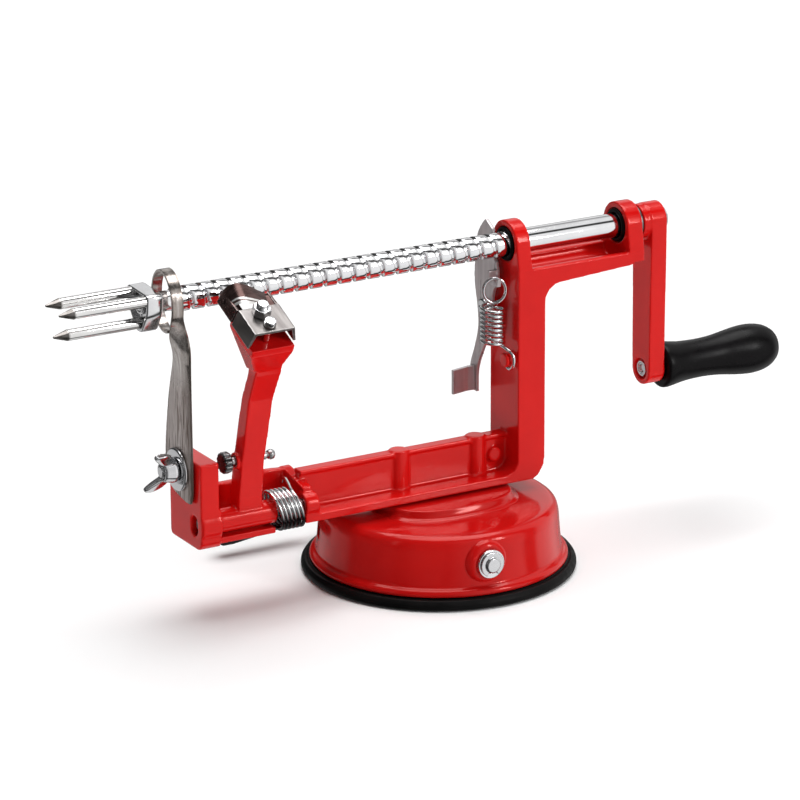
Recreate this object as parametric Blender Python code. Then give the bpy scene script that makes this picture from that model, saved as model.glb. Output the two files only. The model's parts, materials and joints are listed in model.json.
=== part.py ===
"""Apple peeler, corer and slicer on a suction base: crank-fed fork, paring arm and coring knife.

Dimensions below are in millimetres and are scaled to metres when a mesh is made.
X runs along the feed screw towards the crank, Y points to the back, Z points up.
"""
import math

import bmesh
import bpy
from mathutils import Matrix, Vector

MM = 0.001
GAP = 0.3

# Feed screw and the parts that ride on it.
SHAFT_Z = 117.0
SHAFT_R = 4.45
THREAD_LEAD = 5.8
THREAD_DEPTH = 0.85
THREAD_LEFT = -106.0
THREAD_RIGHT = 29.5
SHAFT_BORE_R = SHAFT_R + GAP
PIN_R = 2.0
HUB_LEFT = -119.5
HUB_RIGHT = -113.4
PRONG_TIP = -152.0
PRONG_R = 2.0
PRONG_SPOTS = ((5.0, 3.6), (-5.5, 2.8), (-0.4, -6.2))

# Red die-cast frame.
FRAME_HALF = 10.0
FRAME_BOTTOM = 29.5
FLANGE_TOP = 32.5
BAR_TOP = 46.3
BAR_LEFT = -57.5
POST_LEFT = 27.6
POST_RIGHT = 38.8
RING_R = 8.6
LEFT_RING_RIGHT = 33.4
RIGHT_RING_LEFT = 74.4
RIGHT_RING_RIGHT = 80.8
ARM_BOTTOM = 102.0
ARM_TOP = 109.0
BUSH_HOLE_R = 6.4
BLOCK_LEFT = -102.5
BLOCK_RIGHT = -95.3
BLOCK_HALF = 12.0
BLOCK_BOTTOM = 27.0
BLOCK_TOP = 59.0
RIB_SPOTS = (-16.5, 15.3)
RIB_R = 3.6

# Paring arm and its pivot.
PIVOT_Y = -6.4
PIVOT_Z = 35.5
ROD_R = 2.0
BARREL_R = 4.3
HOLDER_TILT = math.radians(25.0)
HOLDER_FRONT = (-36.5, 112.4)
HOLDER_LENGTH = 13.0
HOLDER_X = -85.5
HEAD_DROP = 6.8
LATCH_AXIS = (-8.5, 57.4)
BOLT_SPOT = (HOLDER_X - 1.0, 9.3)
DEPTH_SPOT = (HOLDER_X - 0.6, 3.2)

# Slicing and coring knife.
KNIFE_X = -103.5
KNIFE_THICK = 1.0
STUD_Y = 2.0
STUD_Z = 54.2
STUD_R = 2.4
RING_MID_R = 10.75
RING_X = -108.0

# Crank and grip.
CRANK_LEFT = 86.0
CRANK_RIGHT = 92.7
GRIP_Z = 60.3
GRIP_BOLT_R = 2.5

# Adjusting buckle.
BUCKLE_LEFT = 24.2
BUCKLE_RIGHT = 25.4
BUCKLE_PIVOT = (7.5, 92.0)
SPRING_X = 20.9
SPRING_Y = -3.0
HOOK_BOSS = (-6.2, 75.5)

# Suction base.
PAD_R = 50.0
PAD_TOP = 4.0
SHELL_TOP = 25.5
AXLE_X = -5.0
AXLE_Z = 15.4
AXLE_R = 3.0
WALL_FACE = 44.6


def clear_scene():
    for item in list(bpy.data.objects):
        bpy.data.objects.remove(item, do_unlink=True)


def material(name, colour, metallic, roughness):
    made = bpy.data.materials.new(name)
    made.use_nodes = True
    shader = made.node_tree.nodes["Principled BSDF"]
    shader.inputs["Base Color"].default_value = (*colour, 1.0)
    shader.inputs["Metallic"].default_value = metallic
    shader.inputs["Roughness"].default_value = roughness
    made.diffuse_color = (*colour, 1.0)
    return made


def mesh_object(name, points, faces):
    mesh = bpy.data.meshes.new(name)
    mesh.from_pydata([Vector(point) * MM for point in points], [], faces)
    work = bmesh.new()
    work.from_mesh(mesh)
    bmesh.ops.remove_doubles(work, verts=work.verts, dist=1e-6)
    bmesh.ops.dissolve_degenerate(work, edges=work.edges, dist=1e-6)
    bmesh.ops.recalc_face_normals(work, faces=work.faces)
    work.to_mesh(mesh)
    work.free()
    made = bpy.data.objects.new(name, mesh)
    bpy.context.scene.collection.objects.link(made)
    return made


def along(axis, position, across, up):
    """A point from its place along an axis and its two coordinates across that axis."""
    if axis == "X":
        return (position, across, up)
    if axis == "Y":
        return (across, position, up)
    return (across, up, position)


def loft(name, rings):
    count = len(rings[0])
    points = [point for ring in rings for point in ring]
    faces = [list(range(count))]
    for index in range(len(rings) - 1):
        low = index * count
        high = low + count
        for side in range(count):
            after = (side + 1) % count
            faces.append([low + side, low + after, high + after, high + side])
    faces.append([len(points) - count + side for side in range(count)])
    return mesh_object(name, points, faces)


def prism(name, axis, outline, low, high):
    rings = []
    for position in (low, high):
        rings.append([along(axis, position, across, up) for across, up in outline])
    return loft(name, rings)


def box(name, x_range, y_range, z_range):
    (front, back), (low, high) = y_range, z_range
    outline = ((front, low), (back, low), (back, high), (front, high))
    return prism(name, "X", outline, *x_range)


def circle(centre, radius, sides, start=0.0):
    spots = []
    for side in range(sides):
        angle = start + 2.0 * math.pi * side / sides
        spots.append((centre[0] + radius * math.cos(angle), centre[1] + radius * math.sin(angle)))
    return spots


def cylinder(name, axis, centre, radius, low, high, sides=24):
    return prism(name, axis, circle(centre, radius, sides), low, high)


def lathe(name, axis, centre, profile, sides=32):
    """Turn a closed outline of (position, radius) pairs about an axis."""
    count = len(profile)
    points = []
    faces = []
    for side in range(sides):
        angle = 2.0 * math.pi * side / sides
        for position, radius in profile:
            across = centre[0] + radius * math.cos(angle)
            up = centre[1] + radius * math.sin(angle)
            points.append(along(axis, position, across, up))
    for side in range(sides):
        here = side * count
        there = ((side + 1) % sides) * count
        for index in range(count):
            after = (index + 1) % count
            if profile[index][1] == 0.0 and profile[after][1] == 0.0:
                continue
            faces.append([here + index, here + after, there + after, there + index])
    return mesh_object(name, points, faces)


def tube(name, path, radius, sides=8):
    """A round wire along a path, with flat ends."""
    spots = [Vector(point) for point in path]
    heading = (spots[1] - spots[0]).normalized()
    side_way = heading.orthogonal().normalized()
    rings = []
    for index, spot in enumerate(spots):
        before = spots[max(index - 1, 0)]
        after = spots[min(index + 1, len(spots) - 1)]
        turned = (after - before).normalized()
        side_way = (side_way - turned * side_way.dot(turned)).normalized()
        other = turned.cross(side_way)
        ring = []
        for step in range(sides):
            angle = 2.0 * math.pi * step / sides
            ring.append(spot + (side_way * math.cos(angle) + other * math.sin(angle)) * radius)
        rings.append(ring)
    return loft(name, rings)


def combine(target, tools, operation):
    for tool in tools:
        step = target.modifiers.new(tool.name, "BOOLEAN")
        step.operation = operation
        step.solver = "EXACT"
        step.object = tool
    graph = bpy.context.evaluated_depsgraph_get()
    result = bpy.data.meshes.new_from_object(target.evaluated_get(graph))
    target.modifiers.clear()
    target.data = result
    for tool in tools:
        bpy.data.objects.remove(tool, do_unlink=True)
    work = bmesh.new()
    work.from_mesh(result)
    bmesh.ops.remove_doubles(work, verts=work.verts, dist=2e-6)
    bmesh.ops.dissolve_degenerate(work, edges=work.edges, dist=2e-6)
    work.to_mesh(result)
    work.free()
    return target


def fuse(target, *tools):
    return combine(target, tools, "UNION")


def cut(target, *tools):
    return combine(target, tools, "DIFFERENCE")


def finish(target, surface, origin, crease=35.0):
    """Give the piece its material, put its origin on its joint axis and shade its round faces."""
    place = Vector(origin) * MM
    target.data.transform(Matrix.Translation(-place))
    target.location = place
    target.data.materials.clear()
    target.data.materials.append(surface)
    target.data.shade_smooth()
    target.data.set_sharp_from_angle(angle=math.radians(crease))
    return target


def rounded(points, radius_list, steps=5):
    """Round the corners of an outline: each corner has its own radius, zero for a sharp one."""
    result = []
    count = len(points)
    for index, point in enumerate(points):
        radius = radius_list[index]
        here = Vector(point)
        if radius == 0.0:
            result.append(tuple(here))
            continue
        back = (Vector(points[index - 1]) - here).normalized()
        ahead = (Vector(points[(index + 1) % count]) - here).normalized()
        half = back.angle(ahead) / 2.0
        start = here + back * (radius / math.tan(half))
        end = here + ahead * (radius / math.tan(half))
        middle = here + (back + ahead).normalized() * (radius / math.sin(half))
        for step in range(steps + 1):
            spot = start.lerp(end, step / steps)
            result.append(tuple(middle + (spot - middle).normalized() * radius))
    return result


def hull_of_two(centre_a, radius_a, centre_b, radius_b, sides=16):
    """Outline of a plate with two round ends, the first above the second."""
    spots = []
    for side in range(sides + 1):
        angle = math.pi * side / sides
        spots.append((centre_a[0] + radius_a * math.cos(angle), centre_a[1] + radius_a * math.sin(angle)))
    for side in range(sides + 1):
        angle = math.pi + math.pi * side / sides
        spots.append((centre_b[0] + radius_b * math.cos(angle), centre_b[1] + radius_b * math.sin(angle)))
    return spots


# ---------------------------------------------------------------- suction base

def suction_pad():
    profile = ((0.0, 0.0), (0.0, 49.2), (0.8, PAD_R), (3.2, PAD_R), (PAD_TOP, 49.2), (PAD_TOP, 10.0),
               (5.5, 9.0), (5.5, 3.3), (2.7, 3.3), (2.7, 0.0))
    pad = lathe("suction_pad", "Z", (0.0, 0.0), profile, 48)
    return finish(pad, material("pad_rubber", (0.02, 0.02, 0.02), 0.0, 0.6), (0, 0, 0))


def base_shell():
    rim = PAD_TOP + GAP
    profile = ((rim, 41.5), (rim, 46.9), (rim + 1.6, 46.9), (rim + 2.4, 46.0), (rim + 3.2, 44.4),
               (21.5, 43.4), (23.8, 42.5), (25.1, 40.6), (SHELL_TOP, 38.4), (SHELL_TOP, 0.0),
               (23.3, 0.0), (23.3, 39.0), (21.8, 40.8))
    shell = lathe("base_shell", "Z", (0.0, 0.0), profile, 40)
    rings = []
    deck_top = FRAME_BOTTOM - GAP
    for height, grow in ((24.4, 2.5), (26.4, 1.6), (deck_top - 0.6, 0.5), (deck_top, 0.0)):
        outline = []
        for side in range(24):
            angle = 2.0 * math.pi * side / 24
            reach = math.cos(angle)
            width = math.sin(angle)
            x = (24.5 + grow) * math.copysign(abs(reach) ** 0.7, reach) + 0.5
            y = (20.0 + grow) * math.copysign(abs(width) ** 0.8, width)
            outline.append((x, y, height))
        rings.append(outline)
    fuse(shell, loft("deck", rings))
    bosses = []
    for low, high in ((-WALL_FACE, -40.6), (40.6, WALL_FACE)):
        bosses.append(cylinder("axle_boss", "Y", (AXLE_X, AXLE_Z), 6.6, low, high))
    fuse(shell, *bosses)
    holes = [cylinder("axle_hole", "Y", (AXLE_X, AXLE_Z), AXLE_R + GAP, -60.0, 60.0)]
    for x in RIB_SPOTS:
        holes.append(cylinder("bolt_hole", "Z", (x, 0.0), 2.2, 20.0, 32.0, 20))
    holes.append(box("side_slot", (-56.0, -36.0), (13.4, 18.6), (12.6, 17.6)))
    cut(shell, *holes)
    return finish(shell, material("shell_red_paint", (0.62, 0.02, 0.02), 0.0, 0.25), (0, 0, 0))


def cam_axle():
    lobe_tilt = math.radians(235.0)
    throw = 1.53
    lobe_x = AXLE_X + throw * math.cos(lobe_tilt)
    lobe_z = AXLE_Z + throw * math.sin(lobe_tilt)
    axle = lathe("cam_axle", "Y", (AXLE_X, AXLE_Z), (
        (-47.8, 0.0), (-47.8, 2.4), (-47.2, AXLE_R), (-46.95, AXLE_R), (-46.95, 2.3), (-46.15, 2.3),
        (-46.15, AXLE_R), (49.6, AXLE_R), (50.0, 2.6), (50.0, 0.0)), 24)
    fuse(axle, cylinder("lobe", "Y", (lobe_x, lobe_z), 4.5, -4.0, 4.0, 32))
    return finish(axle, material("axle_steel", (0.6, 0.6, 0.62), 1.0, 0.3), (AXLE_X, 0, AXLE_Z))


def pad_puller():
    left, right = AXLE_X - 7.7, AXLE_X + 7.7
    outline = ((left, 5.8), (4.0, 5.8), (4.0, 9.0), (right, 9.3), (right, 20.6), (left, 20.6))
    puller = prism("pad_puller", "Y", outline, -3.4, 3.4)
    cut(puller, box("cam_slot", (AXLE_X - 6.4, AXLE_X + 6.4), (-9.0, 9.0), (9.3, 18.95)))
    fuse(puller, cylinder("stem", "Z", (0.0, 0.0), 3.0, 3.0, 6.5, 24))
    return finish(puller, material("puller_steel", (0.5, 0.5, 0.52), 1.0, 0.4), (0, 0, 5.8))


def suction_lever():
    tilt = math.atan2(8.2 - AXLE_Z, -61.0)
    reach = Vector((math.cos(tilt), math.sin(tilt)))
    across = Vector((-reach.y, reach.x))
    hub = Vector((AXLE_X, AXLE_Z))
    outline = []
    for along_reach, side in ((0.0, 6.0), (30.0, 3.6), (58.0, 2.6), (58.0, -2.6), (30.0, -3.6),
                              (0.0, -6.0)):
        outline.append(tuple(hub + reach * along_reach + across * side))
    lever = prism("suction_lever", "Y", outline, 45.4, 48.0)
    fuse(lever, cylinder("lever_hub", "Y", (AXLE_X, AXLE_Z), 7.6, 45.0, 49.0))
    cut(lever, cylinder("lever_hole", "Y", (AXLE_X, AXLE_Z), AXLE_R + GAP, 40.0, 52.0, 24))
    finish(lever, material("lever_steel", (0.55, 0.55, 0.57), 1.0, 0.35), (AXLE_X, 46.7, AXLE_Z))
    rings = []
    for along_reach, scale in ((27.0, 0.86), (28.0, 1.0), (56.0, 1.0), (60.0, 0.9), (62.0, 0.55)):
        ring = []
        for side in range(20):
            angle = 2.0 * math.pi * side / 20
            flat = hub + reach * along_reach + across * (5.0 * scale * math.sin(angle))
            ring.append((flat.x, 46.7 + 3.3 * scale * math.cos(angle), flat.y))
        rings.append(ring)
    grip = loft("lever_grip", rings)
    slot = []
    for along_reach, side in ((20.0, 4.1), (30.0, 3.9), (58.3, 2.9), (58.3, -2.9), (30.0, -3.9),
                              (20.0, -4.1)):
        slot.append(tuple(hub + reach * along_reach + across * side))
    cut(grip, prism("grip_slot", "Y", slot, 45.1, 48.3))
    finish(grip, material("grip_vinyl", (0.015, 0.015, 0.015), 0.0, 0.5), (AXLE_X, 46.7, AXLE_Z))


def axle_end_parts():
    washer = lathe("axle_washer", "Y", (AXLE_X, AXLE_Z), (
        (-46.0, 3.3), (-46.0, 5.2), (-45.0, 5.4), (-45.0, 3.3)), 20)
    finish(washer, material("washer_steel", (0.7, 0.7, 0.72), 1.0, 0.25), (AXLE_X, -45.5, AXLE_Z))
    outer = []
    inner = []
    for side in range(21):
        angle = math.radians(-60.0 + 300.0 * side / 20)
        outer.append((AXLE_X + 4.6 * math.cos(angle), AXLE_Z + 4.6 * math.sin(angle)))
        inner.append((AXLE_X + 2.55 * math.cos(angle), AXLE_Z + 2.55 * math.sin(angle)))
    clip = prism("axle_clip", "Y", outer + inner[::-1], -46.85, -46.3)
    finish(clip, material("clip_steel", (0.65, 0.65, 0.68), 1.0, 0.25), (AXLE_X, -46.6, AXLE_Z))


def base_bolts():
    for number, x in enumerate(RIB_SPOTS):
        profile = ((20.4, 0.0), (20.4, 2.4), (21.0, 3.0), (23.0, 3.0), (23.0, 1.9), (40.0, 1.9),
                   (40.8, 1.3), (40.8, 0.0))
        bolt = lathe(f"base_bolt_{number + 1}", "Z", (x, 0.0), profile, 14)
        finish(bolt, material(f"base_bolt_steel_{number + 1}", (0.6, 0.6, 0.6), 1.0, 0.3), (x, 0, 23.0))


# ---------------------------------------------------------------- frame casting

def end_block():
    outline = rounded(((-BLOCK_HALF, BLOCK_BOTTOM), (BLOCK_HALF, BLOCK_BOTTOM), (BLOCK_HALF, BLOCK_TOP),
                       (-BLOCK_HALF, BLOCK_TOP)), (4.0, 2.0, 1.5, 1.0))
    block = prism("end_block", "X", outline, BLOCK_LEFT, BLOCK_RIGHT)
    low = rounded(((-BLOCK_HALF, BLOCK_BOTTOM), (2.0, BLOCK_BOTTOM), (2.0, 42.0), (-BLOCK_HALF, 42.0)),
                  (4.0, 0.0, 0.0, 1.5))
    return block, prism("pivot_pad", "X", low, BLOCK_RIGHT - 1.0, BLOCK_RIGHT + 0.9)


def window_walls():
    back = prism("back_wall", "Y", (
        (BLOCK_RIGHT - 1.0, 28.2), (BAR_LEFT + 1.0, 28.2), (BAR_LEFT + 1.0, 44.4), (-66.0, 45.2),
        (-71.0, 43.6), (BLOCK_RIGHT - 1.0, 43.6)), 7.4, FRAME_HALF + 0.6)
    floor = box("floor", (BLOCK_RIGHT - 1.0, BAR_LEFT + 2.0), (-FRAME_HALF, 8.0), (28.2, 30.5))
    outline = ((-FRAME_HALF + 0.2, 28.4), (FRAME_HALF + 0.4, 28.4), (FRAME_HALF + 0.4, 45.0), (8.0, 45.0),
               (-6.8, 41.8), (-7.2, 36.0))
    cross = prism("cross_wall", "X", outline, -59.4, -55.6)
    lug = cylinder("lug", "X", (PIVOT_Y, PIVOT_Z), 4.4, -59.9, -54.5, 28)
    return back, floor, cross, lug


def bar_parts():
    parts = [box("flange", (-60.0, POST_LEFT + 4.0), (-FRAME_HALF, FRAME_HALF), (28.4, FLANGE_TOP))]
    parts.append(box("web", (-58.0, POST_LEFT + 2.0), (-1.6, 1.6), (30.0, BAR_TOP)))
    parts.append(box("lip", (-58.0, POST_LEFT + 2.0), (-2.5, 2.5), (BAR_TOP - 1.4, BAR_TOP + 0.1)))
    for x in RIB_SPOTS:
        parts.append(cylinder("rib", "Z", (x, 0.0), RIB_R, 30.0, BAR_TOP + 0.5, 28))
    parts.append(cylinder("round_boss", "Y", (22.0, 39.0), 2.7, -3.3, 0.0, 20))
    return parts


def post_parts():
    outline = rounded((
        (POST_LEFT - 7.0, 28.4), (POST_RIGHT, 28.4), (POST_RIGHT, ARM_BOTTOM), (76.0, 104.2), (79.6, 109.0),
        (79.6, ARM_TOP), (POST_LEFT, ARM_TOP), (POST_LEFT, FLANGE_TOP), (POST_LEFT - 7.0, FLANGE_TOP)),
        (0.0, 8.5, 6.5, 2.0, 0.0, 0.0, 0.0, 5.0, 0.0), 4)
    side = prism("post", "Y", outline, -FRAME_HALF, FRAME_HALF)
    left_ring = cylinder("left_ring", "X", (0.0, SHAFT_Z), RING_R, POST_LEFT, LEFT_RING_RIGHT, 32)
    right_ring = cylinder("right_ring", "X", (0.0, SHAFT_Z), RING_R, RIGHT_RING_LEFT, RIGHT_RING_RIGHT, 32)
    neck = ((-FRAME_HALF, 105.0), (FRAME_HALF, 105.0), (FRAME_HALF, ARM_TOP), (RING_R, SHAFT_Z),
            (-RING_R, SHAFT_Z), (-FRAME_HALF, ARM_TOP))
    left_neck = prism("left_neck", "X", neck, POST_LEFT, LEFT_RING_RIGHT)
    right_neck = prism("right_neck", "X", neck, RIGHT_RING_LEFT, RIGHT_RING_RIGHT)
    return side, left_ring, right_ring, left_neck, right_neck


def frame_bosses():
    pivot = cylinder("buckle_boss", "X", BUCKLE_PIVOT, 3.4, BUCKLE_RIGHT + GAP, POST_LEFT + 1.0, 24)
    hook = lathe("hook_boss", "X", HOOK_BOSS, (
        (23.4, 0.0), (23.4, 2.4), (23.7, 2.8), (24.3, 2.8), (24.7, 2.2), (POST_LEFT + 1.0, 2.2),
        (POST_LEFT + 1.0, 0.0)), 24)
    return pivot, hook


def frame_cutters():
    trough = rounded(((-7.2, 104.8), (7.2, 104.8), (7.2, 118.0), (-7.2, 118.0)), (3.5, 3.5, 0.0, 0.0))
    slot = rounded(((PIVOT_Y - 2.4, PIVOT_Z - 3.6), (PIVOT_Y + 2.4, PIVOT_Z - 3.6),
                    (PIVOT_Y + 2.4, PIVOT_Z + 3.6), (PIVOT_Y - 2.4, PIVOT_Z + 3.6)), (2.3, 2.3, 2.3, 2.3))
    tools = [prism("trough", "X", trough, LEFT_RING_RIGHT, RIGHT_RING_LEFT)]
    tools.append(prism("pivot_slot", "X", slot, -110.0, -98.6))
    tools.append(cylinder("rod_hole", "X", (PIVOT_Y, PIVOT_Z), ROD_R + GAP, -99.0, -54.0, 24))
    tools.append(box("coil_window", (-72.0, -59.9), (-20.0, 3.0), (20.0, 31.0)))
    tools.append(cylinder("left_bush_hole", "X", (0.0, SHAFT_Z), BUSH_HOLE_R, 20.0, 40.0, 28))
    tools.append(cylinder("right_bush_hole", "X", (0.0, SHAFT_Z), BUSH_HOLE_R, 70.0, 90.0, 28))
    tools.append(cylinder("stud_hole", "X", (STUD_Y, STUD_Z), STUD_R + GAP, -110.0, -96.6, 24))
    tools.append(cylinder("buckle_screw_hole", "X", BUCKLE_PIVOT, 1.9, 10.0, 34.0, 16))
    tools.append(box("underside", (-63.0, 45.0), (-20.0, 20.0), (20.0, FRAME_BOTTOM)))
    for x in RIB_SPOTS:
        tools.append(cylinder("rib_hole", "Z", (x, 0.0), 2.2, 25.0, 42.0, 20))
    return tools


def frame_casting():
    block, pad = end_block()
    frame = fuse(block, pad, *window_walls())
    fuse(frame, *bar_parts())
    fuse(frame, *post_parts())
    fuse(frame, *frame_bosses())
    cut(frame, *frame_cutters())
    frame.name = "frame_casting"
    paint = material("frame_red_paint", (0.62, 0.02, 0.02), 0.0, 0.25)
    return finish(frame, paint, (0, 0, FRAME_BOTTOM), 30.0)


def bushes():
    for name, low, high in (("bearing_bush_left", 27.0, 34.0), ("bearing_bush_right", 73.8, 81.0)):
        outer = BUSH_HOLE_R - GAP
        bush = lathe(name, "X", (0.0, SHAFT_Z), (
            (low, SHAFT_BORE_R), (low, outer - 0.3), (low + 0.4, outer), (high - 0.4, outer),
            (high, outer - 0.3), (high, SHAFT_BORE_R)), 28)
        finish(bush, material(name + "_nylon", (0.02, 0.02, 0.02), 0.0, 0.45), (low, 0, SHAFT_Z))


# ---------------------------------------------------------------- feed screw and fork

def thread_depth_at(x):
    """Groove depth at a place along the screw: it runs out smoothly at both ends."""
    near_end = min(x - THREAD_LEFT, THREAD_RIGHT - x)
    return THREAD_DEPTH * min(max(near_end / 2.5, 0.0), 1.0)


def threaded_rod(columns=12):
    """A rod with a flat-bottomed right-hand groove, as one closed skin."""
    steps = ((0.0, 0.0), (4.1, 0.0), (4.35, 1.0), (5.55, 1.0))
    turns = int((THREAD_RIGHT - THREAD_LEFT) / THREAD_LEAD) + 4
    tooth_angle = math.radians(45.0)
    groove_middle = 4.95
    phase = (BUCKLE_LEFT + BUCKLE_RIGHT) / 2.0 - groove_middle - THREAD_LEAD * tooth_angle / (2.0 * math.pi)
    first = phase - THREAD_LEAD * (math.ceil((phase - THREAD_LEFT) / THREAD_LEAD) + 2)
    rows = turns * len(steps)
    points = []
    faces = []
    for column in range(columns):
        angle = 2.0 * math.pi * column / columns
        for row in range(rows):
            step = steps[row % len(steps)]
            x = first + THREAD_LEAD * (row // len(steps) + column / columns) + step[0]
            x = min(max(x, THREAD_LEFT), THREAD_RIGHT)
            radius = SHAFT_R - thread_depth_at(x) * step[1]
            points.append((x, radius * math.cos(angle), SHAFT_Z + radius * math.sin(angle)))
    for column in range(columns):
        after = (column + 1) % columns
        shift = 0 if after else len(steps)
        for row in range(rows - 1 - shift):
            here = column * rows + row
            there = after * rows + row + shift
            faces.append([here, there, there + 1])
            faces.append([here, there + 1, here + 1])
    ends = (
        (THREAD_LEFT, ((THREAD_LEFT - 0.5, 3.6), (HUB_RIGHT + 0.1, 3.6), (HUB_RIGHT + 0.1, PIN_R),
                       (HUB_LEFT + 0.6, PIN_R), (HUB_LEFT + 0.2, 1.6))),
        (THREAD_RIGHT, ((CRANK_LEFT - 0.2, SHAFT_R), (CRANK_LEFT - 0.2, 3.0), (CRANK_RIGHT - 1.6, 3.0))))
    for start, profile in ends:
        rings = [[(start, SHAFT_R * math.cos(2.0 * math.pi * c / columns),
                   SHAFT_Z + SHAFT_R * math.sin(2.0 * math.pi * c / columns)) for c in range(columns)]]
        for x, radius in profile:
            rings.append([(x, across, up) for across, up in circle((0.0, SHAFT_Z), radius, columns)])
        base = len(points)
        points.extend(point for ring in rings for point in ring)
        for index in range(len(rings) - 1):
            for column in range(columns):
                after = (column + 1) % columns
                low = base + index * columns
                faces.append([low + column, low + after, low + columns + after, low + columns + column])
        last = base + (len(rings) - 1) * columns
        faces.append([last + column for column in range(columns)])
    return mesh_object("feed_screw", points, faces)


def feed_screw():
    screw = threaded_rod()
    return finish(screw, material("screw_chrome", (0.8, 0.8, 0.82), 1.0, 0.1), (0, 0, SHAFT_Z), 30.0)


def fork():
    outline = rounded(((7.9, 5.9), (-8.1, 5.1), (-7.4, -2.0), (-2.6, -9.3), (1.6, -9.3), (8.1, -0.4)),
                      (1.8, 1.8, 1.5, 2.0, 2.0, 1.8), 2)
    shield = [(across, SHAFT_Z + up) for across, up in outline]
    hub = prism("fork_hub", "X", shield, HUB_LEFT, HUB_RIGHT)
    recess = [(across * 0.86, SHAFT_Z + up * 0.86) for across, up in outline]
    tools = [prism("recess", "X", recess, HUB_LEFT - 5.0, HUB_LEFT + 2.2)]
    tools.append(cylinder("pin_hole", "X", (0.0, SHAFT_Z), PIN_R + GAP, -130.0, -100.0, 20))
    for across, up in PRONG_SPOTS:
        spot = (across, SHAFT_Z + up)
        tools.append(cylinder("prong_hole", "X", spot, 1.5 + GAP, -130.0, HUB_RIGHT - 1.6, 16))
        tools.append(cylinder("prong_seat", "X", spot, PRONG_R + GAP, -130.0, HUB_LEFT + 2.2, 20))
    cut(hub, *tools)
    finish(hub, material("hub_chrome", (0.75, 0.75, 0.77), 1.0, 0.15), (0, 0, SHAFT_Z))
    seat = HUB_LEFT + 2.2
    for number, (across, up) in enumerate(PRONG_SPOTS):
        profile = ((PRONG_TIP, 0.0), (PRONG_TIP + 0.4, 0.35), (PRONG_TIP + 6.6, PRONG_R),
                   (seat - GAP, PRONG_R), (seat - GAP, 1.5), (HUB_RIGHT - 2.0, 1.5), (HUB_RIGHT - 2.0, 0.0))
        prong = lathe(f"fork_prong_{number + 1}", "X", (across, SHAFT_Z + up), profile, 14)
        finish(prong, material(f"prong_steel_{number + 1}", (0.75, 0.74, 0.72), 1.0, 0.2),
               (PRONG_TIP, across, SHAFT_Z + up))
    nut = lathe("fork_nut", "X", (0.0, SHAFT_Z), (
        (HUB_LEFT + 0.5, PIN_R + GAP), (HUB_LEFT + 0.5, 3.0), (HUB_LEFT + 0.9, 3.3), (seat - GAP, 3.3),
        (seat - GAP, PIN_R + GAP)), 24)
    finish(nut, material("nut_steel", (0.6, 0.6, 0.62), 1.0, 0.25), (HUB_LEFT, 0, SHAFT_Z))


# ---------------------------------------------------------------- crank and grip

def crank():
    washer = lathe("thrust_washer", "X", (0.0, SHAFT_Z), (
        (81.3, SHAFT_BORE_R), (81.3, 6.4), (82.6, 6.4), (82.6, SHAFT_BORE_R)), 24)
    finish(washer, material("thrust_washer_steel", (0.65, 0.65, 0.67), 1.0, 0.25), (82.0, 0, SHAFT_Z))
    outline = hull_of_two((0.0, SHAFT_Z), 6.6, (0.0, GRIP_Z), 5.9)
    arm = prism("crank_arm", "X", outline, CRANK_LEFT, CRANK_RIGHT)
    fuse(arm, cylinder("hub_collar", "X", (0.0, SHAFT_Z), 6.4, 83.0, CRANK_LEFT + 1.0, 32),
         cylinder("grip_seat", "X", (0.0, GRIP_Z), 5.4, CRANK_RIGHT - 1.0, CRANK_RIGHT + 0.6, 28))
    cut(arm, cylinder("shaft_seat", "X", (0.0, SHAFT_Z), SHAFT_BORE_R, 80.0, CRANK_LEFT, 28),
        cylinder("end_seat", "X", (0.0, SHAFT_Z), 3.3, CRANK_LEFT - 1.0, 100.0, 24),
        cylinder("bolt_seat", "X", (0.0, GRIP_Z), GRIP_BOLT_R + GAP, 80.0, 100.0, 24),
        cylinder("counterbore", "X", (0.0, GRIP_Z), 3.9, 80.0, CRANK_LEFT + 1.3, 28))
    finish(arm, material("crank_red_paint", (0.62, 0.02, 0.02), 0.0, 0.25), (CRANK_LEFT, 0, SHAFT_Z))
    screw = lathe("crank_screw", "X", (0.0, SHAFT_Z), (
        (CRANK_RIGHT - 1.3, 0.0), (CRANK_RIGHT - 1.3, 2.9), (CRANK_RIGHT + GAP, 2.9),
        (CRANK_RIGHT + GAP, 4.8), (CRANK_RIGHT + 1.4, 4.6), (CRANK_RIGHT + 2.4, 3.2),
        (CRANK_RIGHT + 2.8, 0.0)), 28)
    finish(screw, material("crank_screw_steel", (0.6, 0.6, 0.62), 1.0, 0.25), (CRANK_RIGHT, 0, SHAFT_Z))


def grip():
    start = CRANK_RIGHT + 0.9
    profile = ((start, GRIP_BOLT_R + GAP), (start, 7.8), (start + 0.8, 8.4), (start + 3.0, 8.5),
               (start + 4.4, 8.2), (103.0, 7.5), (108.4, 7.2), (113.7, 7.2), (119.0, 7.6), (124.0, 8.4),
               (129.0, 9.0), (133.0, 9.2), (136.6, 8.9), (140.0, 8.0), (142.8, 6.4), (143.8, 5.2),
               (142.0, 5.0), (142.0, GRIP_BOLT_R + GAP))
    handle = lathe("crank_grip", "X", (0.0, GRIP_Z), profile, 22)
    finish(handle, material("grip_plastic", (0.012, 0.012, 0.012), 0.0, 0.15), (start, 0, GRIP_Z))
    bolt = lathe("grip_bolt", "X", (0.0, GRIP_Z), (
        (CRANK_LEFT + 0.3, 0.0), (CRANK_LEFT + 0.3, 2.2), (CRANK_LEFT + 0.7, GRIP_BOLT_R),
        (142.3, GRIP_BOLT_R), (142.3, 4.6), (144.2, 4.4), (145.2, 3.0), (145.6, 0.0)), 24)
    finish(bolt, material("grip_bolt_steel", (0.6, 0.6, 0.62), 1.0, 0.25), (CRANK_LEFT, 0, GRIP_Z))


# ---------------------------------------------------------------- adjusting buckle

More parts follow.
